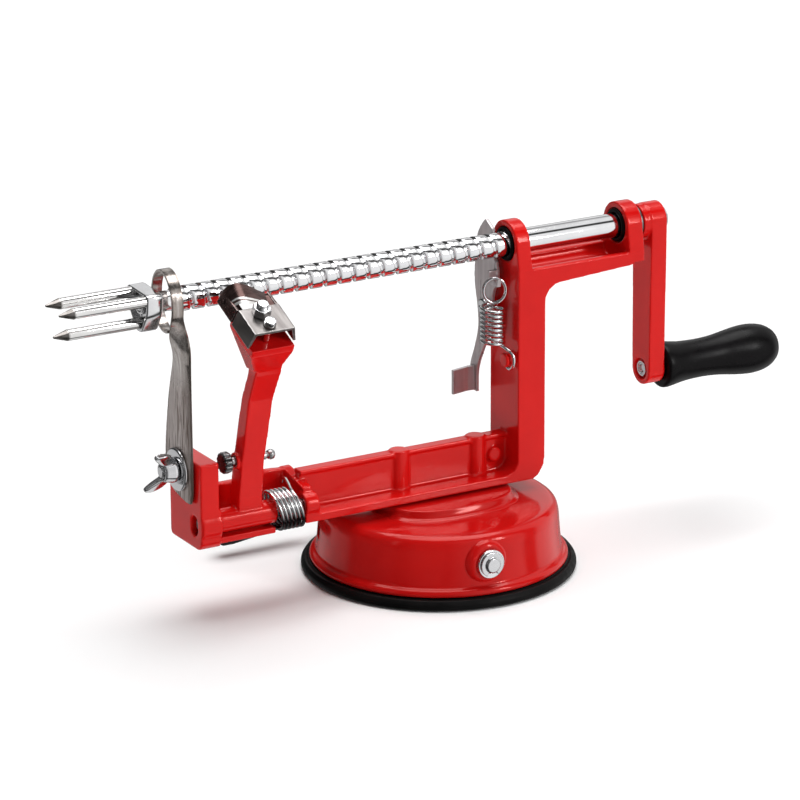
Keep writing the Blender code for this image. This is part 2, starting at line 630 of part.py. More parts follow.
def buckle():
    front_arc = []
    for degrees in (-62, -35, -10, 12, 30, 60):
        angle = math.radians(degrees)
        front_arc.append((5.3 * math.cos(angle), SHAFT_Z + 5.3 * math.sin(angle)))
    outline = [(3.4, 122.2), (6.8, 124.0), (8.6, 124.2), (13.6, 117.6), (15.4, 106.0), (15.4, 99.0),
               (13.6, 91.0), (13.0, 83.0), (15.4, 75.0), (18.6, 67.0), (18.6, 57.8), (14.0, 57.8),
               (13.8, 66.0), (11.0, 72.6), (7.4, 79.0), (3.6, 84.6), (3.0, 97.0), (0.6, 102.0),
               (-0.4, 106.0), (0.8, 110.4)]
    plate = prism("adjusting_buckle", "X", outline + front_arc, BUCKLE_LEFT, BUCKLE_RIGHT)
    tab = prism("thumb_tab", "Z", ((BUCKLE_RIGHT - 0.1, 15.4), (BUCKLE_RIGHT - 0.1, 17.0), (21.0, 17.0),
                                   (14.6, 15.6), (14.6, 14.2), (21.4, 15.6)), 58.0, 67.2)
    finger = prism("finger_root", "Z", ((20.8, -0.2), (BUCKLE_RIGHT - 0.1, -0.2), (BUCKLE_RIGHT - 0.1, 1.6),
                                        (20.8, 1.0)), 102.6, 107.6)
    hook = prism("finger", "X", ((1.0, 103.2), (-6.0, 103.2), (-6.6, 106.2), (-5.4, 106.2), (-5.2, 104.7),
                                 (1.0, 104.7)), 20.8, 22.4)
    middle = (BUCKLE_LEFT + BUCKLE_RIGHT) / 2.0
    teeth = []
    for radius, half in ((5.8, 11.0), (3.95, 8.0)):
        for sign in (-1.0, 1.0):
            angle = math.radians(45.0 + sign * half)
            teeth.append((radius * math.cos(angle), SHAFT_Z + radius * math.sin(angle)))
    tooth = prism("tooth", "X", (teeth[0], teeth[1], teeth[3], teeth[2]), middle - 0.42, middle + 0.42)
    fuse(plate, tab, finger, hook, tooth)
    cut(plate, cylinder("pivot_hole", "X", BUCKLE_PIVOT, 1.9, 20.0, 30.0, 20))
    pivot = (middle, BUCKLE_PIVOT[0], BUCKLE_PIVOT[1])
    finish(plate, material("buckle_steel", (0.45, 0.43, 0.42), 1.0, 0.35), pivot)
    screw = lathe("buckle_screw", "X", BUCKLE_PIVOT, (
        (22.4, 0.0), (22.4, 2.6), (22.8, 3.1), (BUCKLE_LEFT - GAP, 3.1), (BUCKLE_LEFT - GAP, 1.6),
        (33.4, 1.6), (33.4, 0.0)), 24)
    finish(screw, material("buckle_screw_steel", (0.6, 0.6, 0.62), 1.0, 0.25), pivot)


def buckle_spring():
    path = []
    ring_middle = Vector((21.5, SPRING_Y - 0.2, 101.2))
    ring_across = Vector((0.94, -0.34, 0.0)) * 4.1
    ring_up = Vector((0.0, 0.0, 4.6))
    for step in range(17):
        angle = math.radians(-75.0 + 335.0 * step / 16)
        path.append(ring_middle + ring_across * math.cos(angle) + ring_up * math.sin(angle))
    path = path[::-1]
    coils = 8
    high, low = 95.2, 81.4
    for step in range(coils * 9 + 1):
        angle = math.radians(60.0) + 2.0 * math.pi * step / 9
        height = high + (low - high) * step / (coils * 9)
        path.append(Vector((SPRING_X + 4.1 * math.cos(angle), SPRING_Y + 4.1 * math.sin(angle), height)))
    hook = ((24.2, -6.4, 80.0), (25.4, -9.2, 78.0), (25.7, -9.7, 75.5), (25.7, -8.7, 73.0),
            (25.7, -6.2, 72.0), (25.7, -3.6, 73.1))
    path.extend(Vector(point) for point in hook)
    spring = tube("buckle_spring", path, 0.65, 5)
    finish(spring, material("buckle_spring_wire", (0.7, 0.7, 0.72), 1.0, 0.15), (SPRING_X, SPRING_Y, 105.0))


# ---------------------------------------------------------------- paring arm

def arm_section(front, back, height, left, right):
    return [(left, front, height), (right, front, height), (right, back, height), (left, back, height)]


def peel_arm():
    sections = ((-9.2, -2.6, 36.0, -86.2, -76.8), (-9.5, -2.4, 43.0, -86.2, -77.0),
                (-12.0, -5.2, 57.0, -86.2, -77.3), (-17.0, -11.2, 81.0, -85.7, -76.2),
                (-20.4, -14.8, 91.0, -84.9, -74.8), (-25.0, -17.6, 99.0, -85.6, -75.6))
    arm = loft("peel_arm", [arm_section(*section) for section in sections])
    rings = [arm_section(-22.0, -15.8, 93.5, -86.0, -75.7)]
    for lift in (-9.6, -HEAD_DROP):
        rings.append([on_holder(x, forward, lift) for x, forward in (
            (-93.4, -1.6), (-77.0, -1.6), (-77.0, 16.0), (-93.4, 16.0))])
    plate = loft("head", rings)
    barrel = cylinder("barrel", "X", (PIVOT_Y, PIVOT_Z), BARREL_R, -94.1, -71.4, 32)
    boss = cylinder("latch_boss", "X", LATCH_AXIS, 3.0, -87.6, -85.0, 20)
    fuse(arm, plate, barrel, boss)
    tools = [cylinder("barrel_bore", "X", (PIVOT_Y, PIVOT_Z), ROD_R + GAP, -110.0, -60.0, 24)]
    tools.append(cylinder("latch_bore", "X", LATCH_AXIS, 1.5 + GAP, -100.0, -60.0, 20))
    tools.append(tilted_cylinder("bolt_bore", BOLT_SPOT, 1.8, -12.5, -5.0, 16))
    cut(arm, *tools)
    finish(arm, material("arm_red_paint", (0.62, 0.02, 0.02), 0.0, 0.25), (-82.7, PIVOT_Y, PIVOT_Z), 30.0)


def on_holder(x, forward, lift):
    """A point given along the blade holder's top face and above it."""
    y = HOLDER_FRONT[0] + forward * math.cos(HOLDER_TILT) - lift * math.sin(HOLDER_TILT)
    z = HOLDER_FRONT[1] + forward * math.sin(HOLDER_TILT) + lift * math.cos(HOLDER_TILT)
    return (x, y, z)


def tilted_cylinder(name, spot, radius, low, high, sides=20, start=0.0):
    rings = []
    for lift in (low, high):
        rings.append([on_holder(*place, lift) for place in circle(spot, radius, sides, start)])
    return loft(name, rings)


def blade_holder():
    half_top, half_low, depth, thick = 7.8, 9.4, 6.2, 1.1
    section = ((-half_low, -depth), (-half_top, 0.0), (half_top, 0.0), (half_low, -depth),
               (half_low - thick, -depth), (half_top - thick, -thick), (-half_top + thick, -thick),
               (-half_low + thick, -depth))
    rings = []
    for forward in (0.0, HOLDER_LENGTH):
        rings.append([on_holder(HOLDER_X + across, forward, lift) for across, lift in section])
    holder = loft("blade_holder", rings)
    cut(holder, tilted_cylinder("bolt_hole", BOLT_SPOT, 1.8, -4.0, 4.0, 16),
        tilted_cylinder("screw_hole", DEPTH_SPOT, 1.5, -4.0, 4.0, 16))
    finish(holder, material("holder_steel", (0.7, 0.69, 0.68), 1.0, 0.25), on_holder(*BOLT_SPOT, 0.0))


def paring_blade():
    """A tongue clamped under the holder, two side straps and the arched cutting edge between them."""
    tongue = []
    outline = ((-6.3, 5.6), (6.3, 5.6), (6.3, 13.7), (7.9, 13.7), (7.9, 19.3), (5.2, 19.3), (5.2, 11.8),
               (-5.2, 11.8), (-5.2, 19.3), (-7.9, 19.3), (-7.9, 13.7), (-6.3, 13.7))
    for lift in (-2.2, -1.4):
        tongue.append([on_holder(HOLDER_X + across, forward, lift) for across, forward in outline])
    blade = loft("paring_blade", tongue)
    stations = ((-8.7, 16.2, -3.7, 24.3, -3.7), (-8.1, 16.2, -2.1, 24.5, -1.0),
                (-7.2, 16.1, -0.8, 24.4, 0.9), (-5.5, 15.6, 0.5, 23.9, 2.4), (-3.6, 14.9, 0.8, 23.3, 3.1),
                (-1.4, 14.4, 0.5, 22.7, 3.1), (0.8, 14.1, 0.1, 22.1, 2.6), (3.4, 14.0, -0.6, 21.5, 1.3),
                (6.0, 14.2, -1.4, 21.0, -0.2), (7.8, 14.4, -2.3, 20.7, -1.7), (8.5, 14.5, -3.7, 20.6, -3.7))
    arch = []
    for across, front, front_lift, back, back_lift in stations:
        outer = HOLDER_X + across
        inner = HOLDER_X + across * 0.9
        arch.append([on_holder(outer, front, front_lift), on_holder(outer, back, back_lift),
                     on_holder(inner, back, back_lift - 0.8),
                     on_holder(inner, front + 1.2, front_lift - 0.6)])
    straps = []
    for side, back in ((-1.0, 24.8), (1.0, 21.0)):
        wall = []
        for out in (-0.05, 0.85):
            corners = ((9.3, HOLDER_LENGTH + 0.6, -5.9), (9.3, back, -5.9), (8.1, back, -1.3),
                       (7.95, HOLDER_LENGTH + 0.6, -0.7))
            wall.append([on_holder(HOLDER_X + side * (across - out), forward, lift)
                         for across, forward, lift in corners])
        straps.append(loft("strap", wall))
    fuse(blade, loft("arch", arch), *straps)
    cut(blade, tilted_cylinder("blade_hole", BOLT_SPOT, 1.8, -4.0, 4.0, 16))
    finish(blade, material("blade_steel", (0.75, 0.75, 0.76), 1.0, 0.15), on_holder(HOLDER_X, 22.0, 0.0))


def holder_fixings():
    head = tilted_cylinder("blade_bolt", BOLT_SPOT, 3.4, 0.3, 3.2, 6, 0.3)
    fuse(head, tilted_cylinder("stem", BOLT_SPOT, 2.2, 3.0, 4.8, 20),
         tilted_cylinder("shank", BOLT_SPOT, 1.5, -12.0, 1.0, 16))
    finish(head, material("blade_bolt_steel", (0.65, 0.65, 0.67), 1.0, 0.2), on_holder(*BOLT_SPOT, 0.0))
    screw = tilted_cylinder("depth_screw", DEPTH_SPOT, 2.2, 0.3, 2.4, 18)
    fuse(screw, tilted_cylinder("shank", DEPTH_SPOT, 1.2, -6.4, 1.0, 16))
    cut(screw, depth_slot())
    finish(screw, material("depth_screw_steel", (0.6, 0.6, 0.62), 1.0, 0.2), on_holder(*DEPTH_SPOT, 0.0))


def depth_slot():
    rings = []
    corners = ((-4.0, -0.4), (4.0, -0.4), (4.0, 0.4), (-4.0, 0.4))
    for lift in (1.7, 4.0):
        rings.append([on_holder(DEPTH_SPOT[0] + across, DEPTH_SPOT[1] + forward, lift)
                      for across, forward in corners])
    return loft("driver_slot", rings)


def arm_pivot():
    rod = lathe("pivot_rod", "X", (PIVOT_Y, PIVOT_Z), (
        (-101.0, 0.0), (-101.0, 1.6), (-100.6, ROD_R), (-55.3, ROD_R), (-55.0, 1.7), (-55.0, 0.0)), 20)
    finish(rod, material("rod_steel", (0.55, 0.55, 0.57), 1.0, 0.3), (-80.0, PIVOT_Y, PIVOT_Z))
    path = [Vector((-75.6, -2.0, 51.0)), Vector((-74.4, -0.4, 46.0)), Vector((-73.2, 0.4, 41.0))]
    coil_r = 7.0
    turns = 5.75
    first, last = -72.0, -62.8
    lean = 2.1
    steps = int(turns * 12)
    for step in range(steps + 1):
        angle = math.radians(20.0) - 2.0 * math.pi * step / 12
        x = first + (last - first) * step / steps - lean * math.sin(angle)
        path.append(Vector((x, PIVOT_Y + coil_r * math.cos(angle), PIVOT_Z + coil_r * math.sin(angle))))
    path.append(Vector((-60.6, 4.4, 42.6)))
    path.append(Vector((-60.6, 6.6, 40.0)))
    spring = tube("torsion_spring", path, 0.65, 5)
    wire = material("torsion_spring_wire", (0.25, 0.25, 0.26), 1.0, 0.25)
    finish(spring, wire, (-65.5, PIVOT_Y, PIVOT_Z))


def latch():
    centre = LATCH_AXIS
    pin = lathe("latch_pin", "X", centre, (
        (-90.0, 0.0), (-90.0, 1.5), (-75.2, 1.5), (-74.9, 1.0), (-74.6, 0.9), (-74.2, 1.5), (-73.2, 1.9),
        (-72.2, 1.7), (-71.6, 1.0), (-71.4, 0.0)), 20)
    finish(pin, material("latch_pin_steel", (0.4, 0.4, 0.42), 1.0, 0.25), (-80.0, *centre))
    knob = lathe("latch_knob", "X", centre, (
        (-92.7, 0.0), (-92.7, 3.5), (-92.2, 3.9), (-89.9, 3.9), (-89.3, 3.4), (-89.3, 1.8), (-90.3, 1.8),
        (-90.3, 0.0)), 24)
    grooves = []
    for step in range(8):
        angle = 2.0 * math.pi * step / 8
        spot = (centre[0] + 4.4 * math.cos(angle), centre[1] + 4.4 * math.sin(angle))
        grooves.append(cylinder("groove", "X", spot, 1.0, -100.0, -80.0, 6))
    cut(knob, *grooves)
    finish(knob, material("latch_knob_steel", (0.2, 0.2, 0.21), 1.0, 0.3), (-91.5, *centre))


# ---------------------------------------------------------------- slicing and coring knife

def band(centre, width_way, thick_way, width, thick):
    corners = []
    for across, out in ((-0.5, -0.5), (0.5, -0.5), (0.5, 0.5), (-0.5, 0.5)):
        corners.append(centre + width_way * (across * width) + thick_way * (out * thick))
    return corners


def slicing_knife():
    rings = []
    flat = ((43.6, -5.0, 3.0), (46.0, 1.0, 18.0), (52.0, 1.9, 20.6), (60.0, 1.9, 20.6), (70.0, 1.2, 18.8),
            (80.0, 0.4, 17.0), (88.0, -0.7, 14.8), (94.0, -1.8, 12.2))
    to_back, to_left = Vector((0, 1, 0)), Vector((-1, 0, 0))
    for height, middle, width in flat:
        rings.append(band(Vector((KNIFE_X, middle, height)), to_back, to_left, width, KNIFE_THICK))
    start, sweep = 205.0, 318.0
    twist = ((0.12, 98.0, -2.6, 10.2, -104.0), (0.35, 102.0, -3.6, 8.4, -105.2),
             (0.6, 105.4, -5.4, 7.0, -106.6), (0.82, 109.0, -7.8, 5.8, -108.1))
    lean = Vector((0, -0.42, 0.906))
    for share, height, middle, width, x in twist:
        turn = math.radians(90.0) * share
        path_way = Vector((0, 0, 1)).lerp(lean, share).normalized()
        flat_way = (to_back - path_way * path_way.y).normalized()
        width_way = flat_way * math.cos(turn) + to_left * math.sin(turn)
        thick_way = path_way.cross(width_way)
        centre = Vector((x, middle, height))
        rings.append(band(centre, width_way, thick_way, width, KNIFE_THICK))
    steps = 34
    for step in range(steps + 1):
        share = step / steps
        angle = math.radians(start - sweep * share)
        outward = Vector((0, math.cos(angle), math.sin(angle)))
        centre = Vector((RING_X + 1.4 * outward.y, 0.0, SHAFT_Z)) + outward * RING_MID_R
        rings.append(band(centre, to_left, outward, 4.6 - 1.0 * share, KNIFE_THICK))
    knife = loft("slicing_knife", rings)
    cut(knife, cylinder("stud_hole", "X", (STUD_Y, STUD_Z), STUD_R + GAP, -110.0, -95.0, 24))
    finish(knife, material("knife_steel", (0.6, 0.58, 0.56), 1.0, 0.3), (KNIFE_X, STUD_Y, STUD_Z))


def knife_fixings():
    centre = (STUD_Y, STUD_Z)
    stud = lathe("knife_stud", "X", centre, (
        (-111.2, 0.0), (-111.2, 1.9), (-110.7, STUD_R), (-97.2, STUD_R), (-96.9, 2.1), (-96.9, 0.0)), 24)
    finish(stud, material("stud_steel", (0.6, 0.6, 0.62), 1.0, 0.25), (-105.0, *centre))
    outer = KNIFE_X - KNIFE_THICK / 2.0 - GAP
    washer = lathe("knife_washer", "X", centre, (
        (outer - 1.1, STUD_R + GAP), (outer - 1.1, 7.5), (outer - 0.8, 7.8), (outer, 7.8),
        (outer, STUD_R + GAP)), 28)
    finish(washer, material("knife_washer_steel", (0.75, 0.75, 0.77), 1.0, 0.15), (outer, *centre))
    seat = outer - 1.1 - GAP
    nut = lathe("wing_nut", "X", centre, (
        (seat - 4.8, STUD_R + GAP), (seat - 4.8, 3.4), (seat - 4.3, 3.7), (seat - 1.0, 4.5), (seat, 4.5),
        (seat, STUD_R + GAP)), 28)
    direction = math.radians(122.0)
    wings = []
    for sign in (1.0, -1.0):
        way = Vector((math.cos(direction), math.sin(direction))) * sign
        across = Vector((-way.y, way.x))
        rings = []
        for reach, low, high, half in ((2.9, -0.6, -4.4, 1.3), (5.0, -1.0, -7.0, 1.25),
                                       (7.0, -2.0, -9.0, 1.15), (8.4, -3.4, -9.8, 1.05),
                                       (9.4, -5.2, -9.2, 0.9)):
            ring = []
            for depth, side in ((low, -half), (high, -half), (high, half), (low, half)):
                spot = Vector(centre) + way * reach + across * side
                ring.append((seat + depth, spot.x, spot.y))
            rings.append(ring)
        wings.append(loft("wing", rings))
    fuse(nut, *wings)
    finish(nut, material("wing_nut_chrome", (0.75, 0.75, 0.77), 1.0, 0.15), (seat, *centre), 40.0)


clear_scene()
suction_pad()
base_shell()
cam_axle()
pad_puller()
suction_lever()
axle_end_parts()
base_bolts()
frame_casting()
bushes()
feed_screw()
fork()
crank()
grip()
buckle()
buckle_spring()
peel_arm()
blade_holder()
paring_blade()
holder_fixings()
arm_pivot()
latch()
slicing_knife()
knife_fixings()
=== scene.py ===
"""Looks of the apple peeler, corer and slicer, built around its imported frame.

Lengths in the making functions are in millimetres and become metres when a mesh is made.
X runs along the feed screw towards the crank, Y points to the back, Z points up.
"""
import json
from math import ceil, copysign, cos, pi, radians, sin

import bmesh
import bpy
from mathutils import Matrix, Vector

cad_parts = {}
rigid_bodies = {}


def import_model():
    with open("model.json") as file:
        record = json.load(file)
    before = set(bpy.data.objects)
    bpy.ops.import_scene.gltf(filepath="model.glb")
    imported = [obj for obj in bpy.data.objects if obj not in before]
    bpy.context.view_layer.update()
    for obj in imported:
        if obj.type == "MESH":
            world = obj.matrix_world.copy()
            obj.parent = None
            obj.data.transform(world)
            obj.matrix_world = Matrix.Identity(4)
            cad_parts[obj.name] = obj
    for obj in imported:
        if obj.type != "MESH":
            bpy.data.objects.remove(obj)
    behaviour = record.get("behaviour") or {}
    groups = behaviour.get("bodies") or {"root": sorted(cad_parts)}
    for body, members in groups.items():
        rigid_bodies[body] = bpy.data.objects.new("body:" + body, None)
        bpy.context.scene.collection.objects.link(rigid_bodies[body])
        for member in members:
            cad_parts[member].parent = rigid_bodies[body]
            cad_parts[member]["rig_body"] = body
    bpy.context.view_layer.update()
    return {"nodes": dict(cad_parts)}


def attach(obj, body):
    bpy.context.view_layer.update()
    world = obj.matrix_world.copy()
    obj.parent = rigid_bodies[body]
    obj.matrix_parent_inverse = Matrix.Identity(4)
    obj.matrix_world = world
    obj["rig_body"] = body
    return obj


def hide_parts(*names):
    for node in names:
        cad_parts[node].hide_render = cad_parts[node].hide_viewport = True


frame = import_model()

NODES = frame["nodes"]
MM = 0.001
TAU = 2.0 * pi

# Camera, as an aim point and the way it is seen from.
CAMERA_AIM = Vector((-0.00265, 0.02314, 0.05638))
CAMERA_DISTANCE = 1.7
CAMERA_TURN = radians(29.709)
CAMERA_DROP = radians(18.472)
CAMERA_ROLL = radians(-0.2348)
CAMERA_LENS = 210.66

# Shapes shared with the CAD solids, in millimetres.
SHAFT_Z = 117.0
SHAFT_R = 4.45
THREAD_LEAD = 5.8
THREAD_DEPTH = 0.85
THREAD_LEFT = -106.0
THREAD_RIGHT = 29.5
GROOVE_MIDDLE = 4.95
TOOTH_X = 24.8
TOOTH_ANGLE = 45.0
PIVOT = (-6.4, 35.5)
HOLDER_TILT = radians(25.0)
HOLDER_FRONT = (-36.5, 112.4)
HOLDER_X = -85.5
BOLT_SPOT = (HOLDER_X - 1.0, 9.3)
DEPTH_SPOT = (HOLDER_X - 0.6, 3.2)
KNIFE_X = -103.5
KNIFE_THICK = 1.0
STUD = (2.0, 54.2)
BUCKLE_PIVOT = (7.5, 92.0)
AXLE = (-5.0, 15.4)
BASE_BOLT_X = (-16.5, 15.3)
SHAFT = (0.0, SHAFT_Z)
GRIP = (0.0, 60.3)


# ---------------------------------------------------------------- materials

BLACK = (0.0, 0.0, 0.0)
EVEN = (1.0, 1.0, 1.0)
FLAT_EDGE = 0.505  # pointiness just above that of a flat face


def grey(tone):
    return (tone, tone, tone)


def tune(node, **values):
    """Set inputs of a node. An underscore stands for the space in an input's name."""
    for key, value in values.items():
        node.inputs[key.replace("_", " ")].default_value = value


class Graph:
    """A material and short calls that add nodes to it. Patterns lie in the piece's own space."""

    def __init__(self, name):
        self.material = bpy.data.materials.new(name)
        self.material.use_nodes = True
        self.tree = self.material.node_tree
        self.shader = self.tree.nodes["Principled BSDF"]
        self.place = self.add("ShaderNodeTexCoord").outputs["Object"]

    def add(self, kind, **settings):
        made = self.tree.nodes.new(kind)
        for key, value in settings.items():
            setattr(made, key, value)
        return made

    def join(self, source, target):
        self.tree.links.new(source, target)

    def noise(self, scale, detail=3.0, stretch=EVEN, waves=0.0):
        scaler = self.add("ShaderNodeMapping")
        tune(scaler, Scale=stretch)
        self.join(self.place, scaler.inputs["Vector"])
        made = self.add("ShaderNodeTexNoise")
        tune(made, Scale=scale, Detail=detail, Distortion=waves)
        self.join(scaler.outputs["Vector"], made.inputs["Vector"])
        return made.outputs["Fac"]

    def cells(self, scale):
        made = self.add("ShaderNodeTexVoronoi")
        tune(made, Scale=scale)
        self.join(self.place, made.inputs["Vector"])
        return made.outputs["Distance"]

    def edges(self):
        return self.add("ShaderNodeNewGeometry").outputs["Pointiness"]

    def spread(self, value, low, high, source=(0.3, 0.7)):
        made = self.add("ShaderNodeMapRange")
        tune(made, From_Min=source[0], From_Max=source[1], To_Min=low, To_Max=high)
        self.join(value, made.inputs["Value"])
        return made.outputs["Result"]

    def level(self, axis, low, high):
        """0 before the first place along an axis and 1 after the second, in mm."""
        split = self.add("ShaderNodeSeparateXYZ")
        self.join(self.place, split.inputs["Vector"])
        return self.spread(split.outputs[axis], 0.0, 1.0, (low * MM, high * MM))

    def ramp(self, value, *stops):
        made = self.add("ShaderNodeValToRGB")
        points = made.color_ramp.elements
        while len(points) < len(stops):
            points.new(0.5)
        for point, (position, colour) in zip(points, stops):
            point.position = position
            point.color = (*colour, 1.0)
        self.join(value, made.inputs["Fac"])
        return made.outputs["Color"]

    def blend(self, share, first, second):
        made = self.add("ShaderNodeMix", data_type="RGBA")
        self.join(share, made.inputs["Factor"])
        self.join(first, made.inputs["A"])
        self.join(second, made.inputs["B"])
        return made.outputs["Result"]

    def relief(self, *layers):
        """Bump layers of (height, strength, depth in mm)."""
        normal = None
        for height, strength, depth in layers:
            made = self.add("ShaderNodeBump")
            tune(made, Strength=strength, Distance=depth * MM)
            self.join(height, made.inputs["Height"])
            if normal:
                self.join(normal, made.inputs["Normal"])
            normal = made.outputs["Normal"]
        self.join(normal, self.shader.inputs["Normal"])

    def colour(self, value):
        self.join(value, self.shader.inputs["Base Color"])

    def rough(self, value):
        self.join(value, self.shader.inputs["Roughness"])

    def finished(self, **values):
        """The material, with these fixed values on its shader."""
        tune(self.shader, **values)
        return self.material


def gloss_red(name, depth=1.0, edge_highlight_share=0.55):
    """Stove enamel: deep red, a faint orange-peel ripple, a clear gloss, and a painted highlight of
    paler paint on sharp edges that also stands for worn paint.
    """
    paint = Graph(name)
    body = paint.ramp(paint.noise(45.0, 4.0), (0.3, (0.61 * depth, 0.005, 0.005)),
        (0.7, (0.70 * depth, 0.008, 0.007)))
    # painted highlight: sharp edges take a paler, pinker red as if they caught the light, which also
    # stands for worn paint
    edge = paint.ramp(paint.edges(), (0.52, BLACK), (0.62, grey(edge_highlight_share)))
    edge_highlight_tone = paint.ramp(paint.noise(700.0, 2.0), (0.35, (0.74, 0.02, 0.018)), (0.7, (0.82, 0.045, 0.04)))
    paint.colour(paint.blend(edge, body, edge_highlight_tone))
    paint.rough(paint.spread(paint.noise(160.0, 5.0), 0.10, 0.20))
    paint.relief((paint.noise(420.0, 1.5), 0.03, 0.10), (paint.noise(2600.0, 2.0), 0.04, 0.02))
    return paint.finished(Coat_Weight=0.10, Coat_Roughness=0.03, Specular_IOR_Level=0.45,
        Specular_Tint=(1.0, 0.36, 0.33, 1.0))


def bright_steel(name, tone=0.86, stretch=EVEN, low=0.05, high=0.16):
    """Plated and polished steel with fine polishing lines and faint clouding."""
    metal = Graph(name)
    metal.colour(metal.ramp(metal.noise(120.0, 4.0), (0.3, (tone * 0.90, tone * 0.90, tone * 0.92)),
        (0.7, (tone, tone, tone * 1.01))))
    lines = metal.noise(900.0, 4.0, stretch)
    metal.rough(metal.spread(lines, low, high))
    metal.relief((lines, 0.05, 0.02))
    return metal.finished(Metallic=1.0)


def pointed_steel(name):
    """Polished prongs with duller, darker ground points."""
    metal = Graph(name)
    lines = metal.noise(900.0, 4.0, (0.06, 1.0, 1.0))
    bright = metal.ramp(metal.noise(120.0, 4.0), (0.3, (0.78, 0.77, 0.76)), (0.7, (0.88, 0.87, 0.86)))
    ground = metal.ramp(lines, (0.3, (0.12, 0.11, 0.10)), (0.7, (0.30, 0.28, 0.27)))
    shank = metal.level("X", -147.0, -146.0)
    metal.colour(metal.blend(shank, ground, bright))
    metal.rough(metal.blend(shank, metal.spread(lines, 0.24, 0.36), metal.spread(lines, 0.04, 0.13)))
    metal.relief((lines, 0.06, 0.02))
    return metal.finished(Metallic=1.0)


def shade_painted_wire(name):
    """Spring wire, bright on the open upper turns, with painted shade: the lower turns are coloured
    near black.
    """
    metal = Graph(name)
    lines = metal.noise(900.0, 4.0)
    bright = metal.ramp(metal.noise(200.0, 3.0), (0.3, (0.74, 0.74, 0.75)), (0.7, (0.86, 0.86, 0.87)))
    painted_shade = metal.ramp(lines, (0.3, (0.012, 0.010, 0.011)), (0.7, (0.07, 0.06, 0.065)))
    # painted shade: turns below Z 33.5 mm take the near-black colour, as if they lay in shadow
    metal.colour(metal.blend(metal.level("Z", 33.5, 37.5), painted_shade, bright))
    metal.rough(metal.spread(lines, 0.10, 0.24))
    metal.relief((lines, 0.05, 0.02))
    return metal.finished(Metallic=1.0)


def brushed_steel(name, dark, light, stretch, low=0.22, high=0.42, grain=0.12, metallic=1.0):
    """Rolled or ground steel: long streaks of tone along the grain, with stains and paler edges."""
    metal = Graph(name)
    streaks = metal.noise(420.0, 6.0, stretch)
    stain = metal.noise(70.0, 5.0)
    tone = metal.ramp(streaks, (0.32, dark), (0.68, light))
    rusty = tuple(part * share for part, share in zip(dark, (0.92, 0.84, 0.78)))
    brown = metal.ramp(stain, (0.35, rusty), (0.75, light))
    base = metal.blend(metal.spread(stain, 0.15, 0.6), tone, brown)
    # paler towards sharp edges
    pale_edge_mask = metal.ramp(metal.edges(), (FLAT_EDGE, BLACK), (0.6, grey(0.6)))
    bright = metal.ramp(streaks, (0.3, (0.8, 0.79, 0.78)), (0.7, (0.92, 0.91, 0.90)))
    metal.colour(metal.blend(pale_edge_mask, base, bright))
    metal.rough(metal.spread(streaks, low, high))
    metal.relief((streaks, grain, 0.05), (metal.noise(1800.0, 3.0), 0.05, 0.02))
    return metal.finished(Metallic=metallic)


def wavy_steel(name):
    """Rolled knife steel with long wavy bands, warm brown between pale streaks."""
    metal = Graph(name)
    bands = metal.noise(460.0, 4.0, (1.0, 1.0, 0.07), 1.2)
    fine = metal.noise(900.0, 4.0, (1.0, 1.0, 0.04))
    warm = metal.ramp(bands, (0.38, (0.13, 0.09, 0.075)), (0.46, (0.50, 0.42, 0.40)),
        (0.54, (0.68, 0.61, 0.59)), (0.62, (0.22, 0.16, 0.14)))
    pale = metal.ramp(fine, (0.3, (0.56, 0.50, 0.47)), (0.7, (0.86, 0.82, 0.79)))
    rolled = metal.blend(metal.spread(fine, 0.0, 0.25), warm, pale)
    polished = metal.level("Z", 82.0, 92.0)
    base = metal.blend(polished, rolled, pale)
    # darker at the sharp edges
    dark_edge_mask = metal.ramp(metal.edges(), (FLAT_EDGE, BLACK), (0.56, grey(0.85)))
    dark_edge_tone = metal.ramp(fine, (0.3, (0.05, 0.03, 0.02)), (0.7, (0.16, 0.11, 0.08)))
    metal.colour(metal.blend(dark_edge_mask, base, dark_edge_tone))
    metal.rough(metal.blend(polished, metal.spread(bands, 0.22, 0.42), metal.spread(fine, 0.10, 0.22)))
    metal.relief((bands, 0.20, 0.08), (fine, 0.10, 0.03))
    metal.join(metal.spread(polished, 0.45, 0.9, (0.0, 1.0)), metal.shader.inputs["Metallic"])
    return metal.material


def black_rubber(name):
    """Moulded rubber: nearly black, dusty in patches, with a fine pebbled skin."""
    rubber = Graph(name)
    rubber.colour(rubber.ramp(rubber.noise(90.0, 6.0), (0.3, grey(0.002)),
        (0.75, (0.007, 0.006, 0.006))))
    rubber.rough(rubber.spread(rubber.noise(400.0, 5.0), 0.38, 0.6))
    rubber.relief((rubber.cells(1600.0), 0.12, 0.05), (rubber.noise(300.0, 3.0), 0.08, 0.08))
    return rubber.finished(Specular_IOR_Level=0.10)


def black_plastic(name, low, high, pebble):
    """Moulded plastic with flow marks, a skin of fine pebbles and light scuffs on its edges."""
    plastic = Graph(name)
    body = plastic.ramp(plastic.noise(60.0, 5.0, (0.35, 1.0, 1.0)), (0.3, grey(0.002)),
        (0.75, (0.006, 0.005, 0.006)))
    scuff = plastic.ramp(plastic.noise(900.0, 4.0), (0.6, BLACK), (0.78, grey(0.35)))
    pale = plastic.ramp(plastic.noise(300.0, 2.0), (0.3, (0.012, 0.012, 0.013)),
        (0.7, (0.022, 0.022, 0.023)))
    plastic.colour(plastic.blend(scuff, body, pale))
    plastic.rough(plastic.spread(plastic.noise(220.0, 5.0), low, high))
    plastic.relief((plastic.noise(150.0, 2.0), 0.06, 0.15), (plastic.cells(2200.0), pebble, 0.03))
    return plastic.finished(Specular_IOR_Level=0.10)


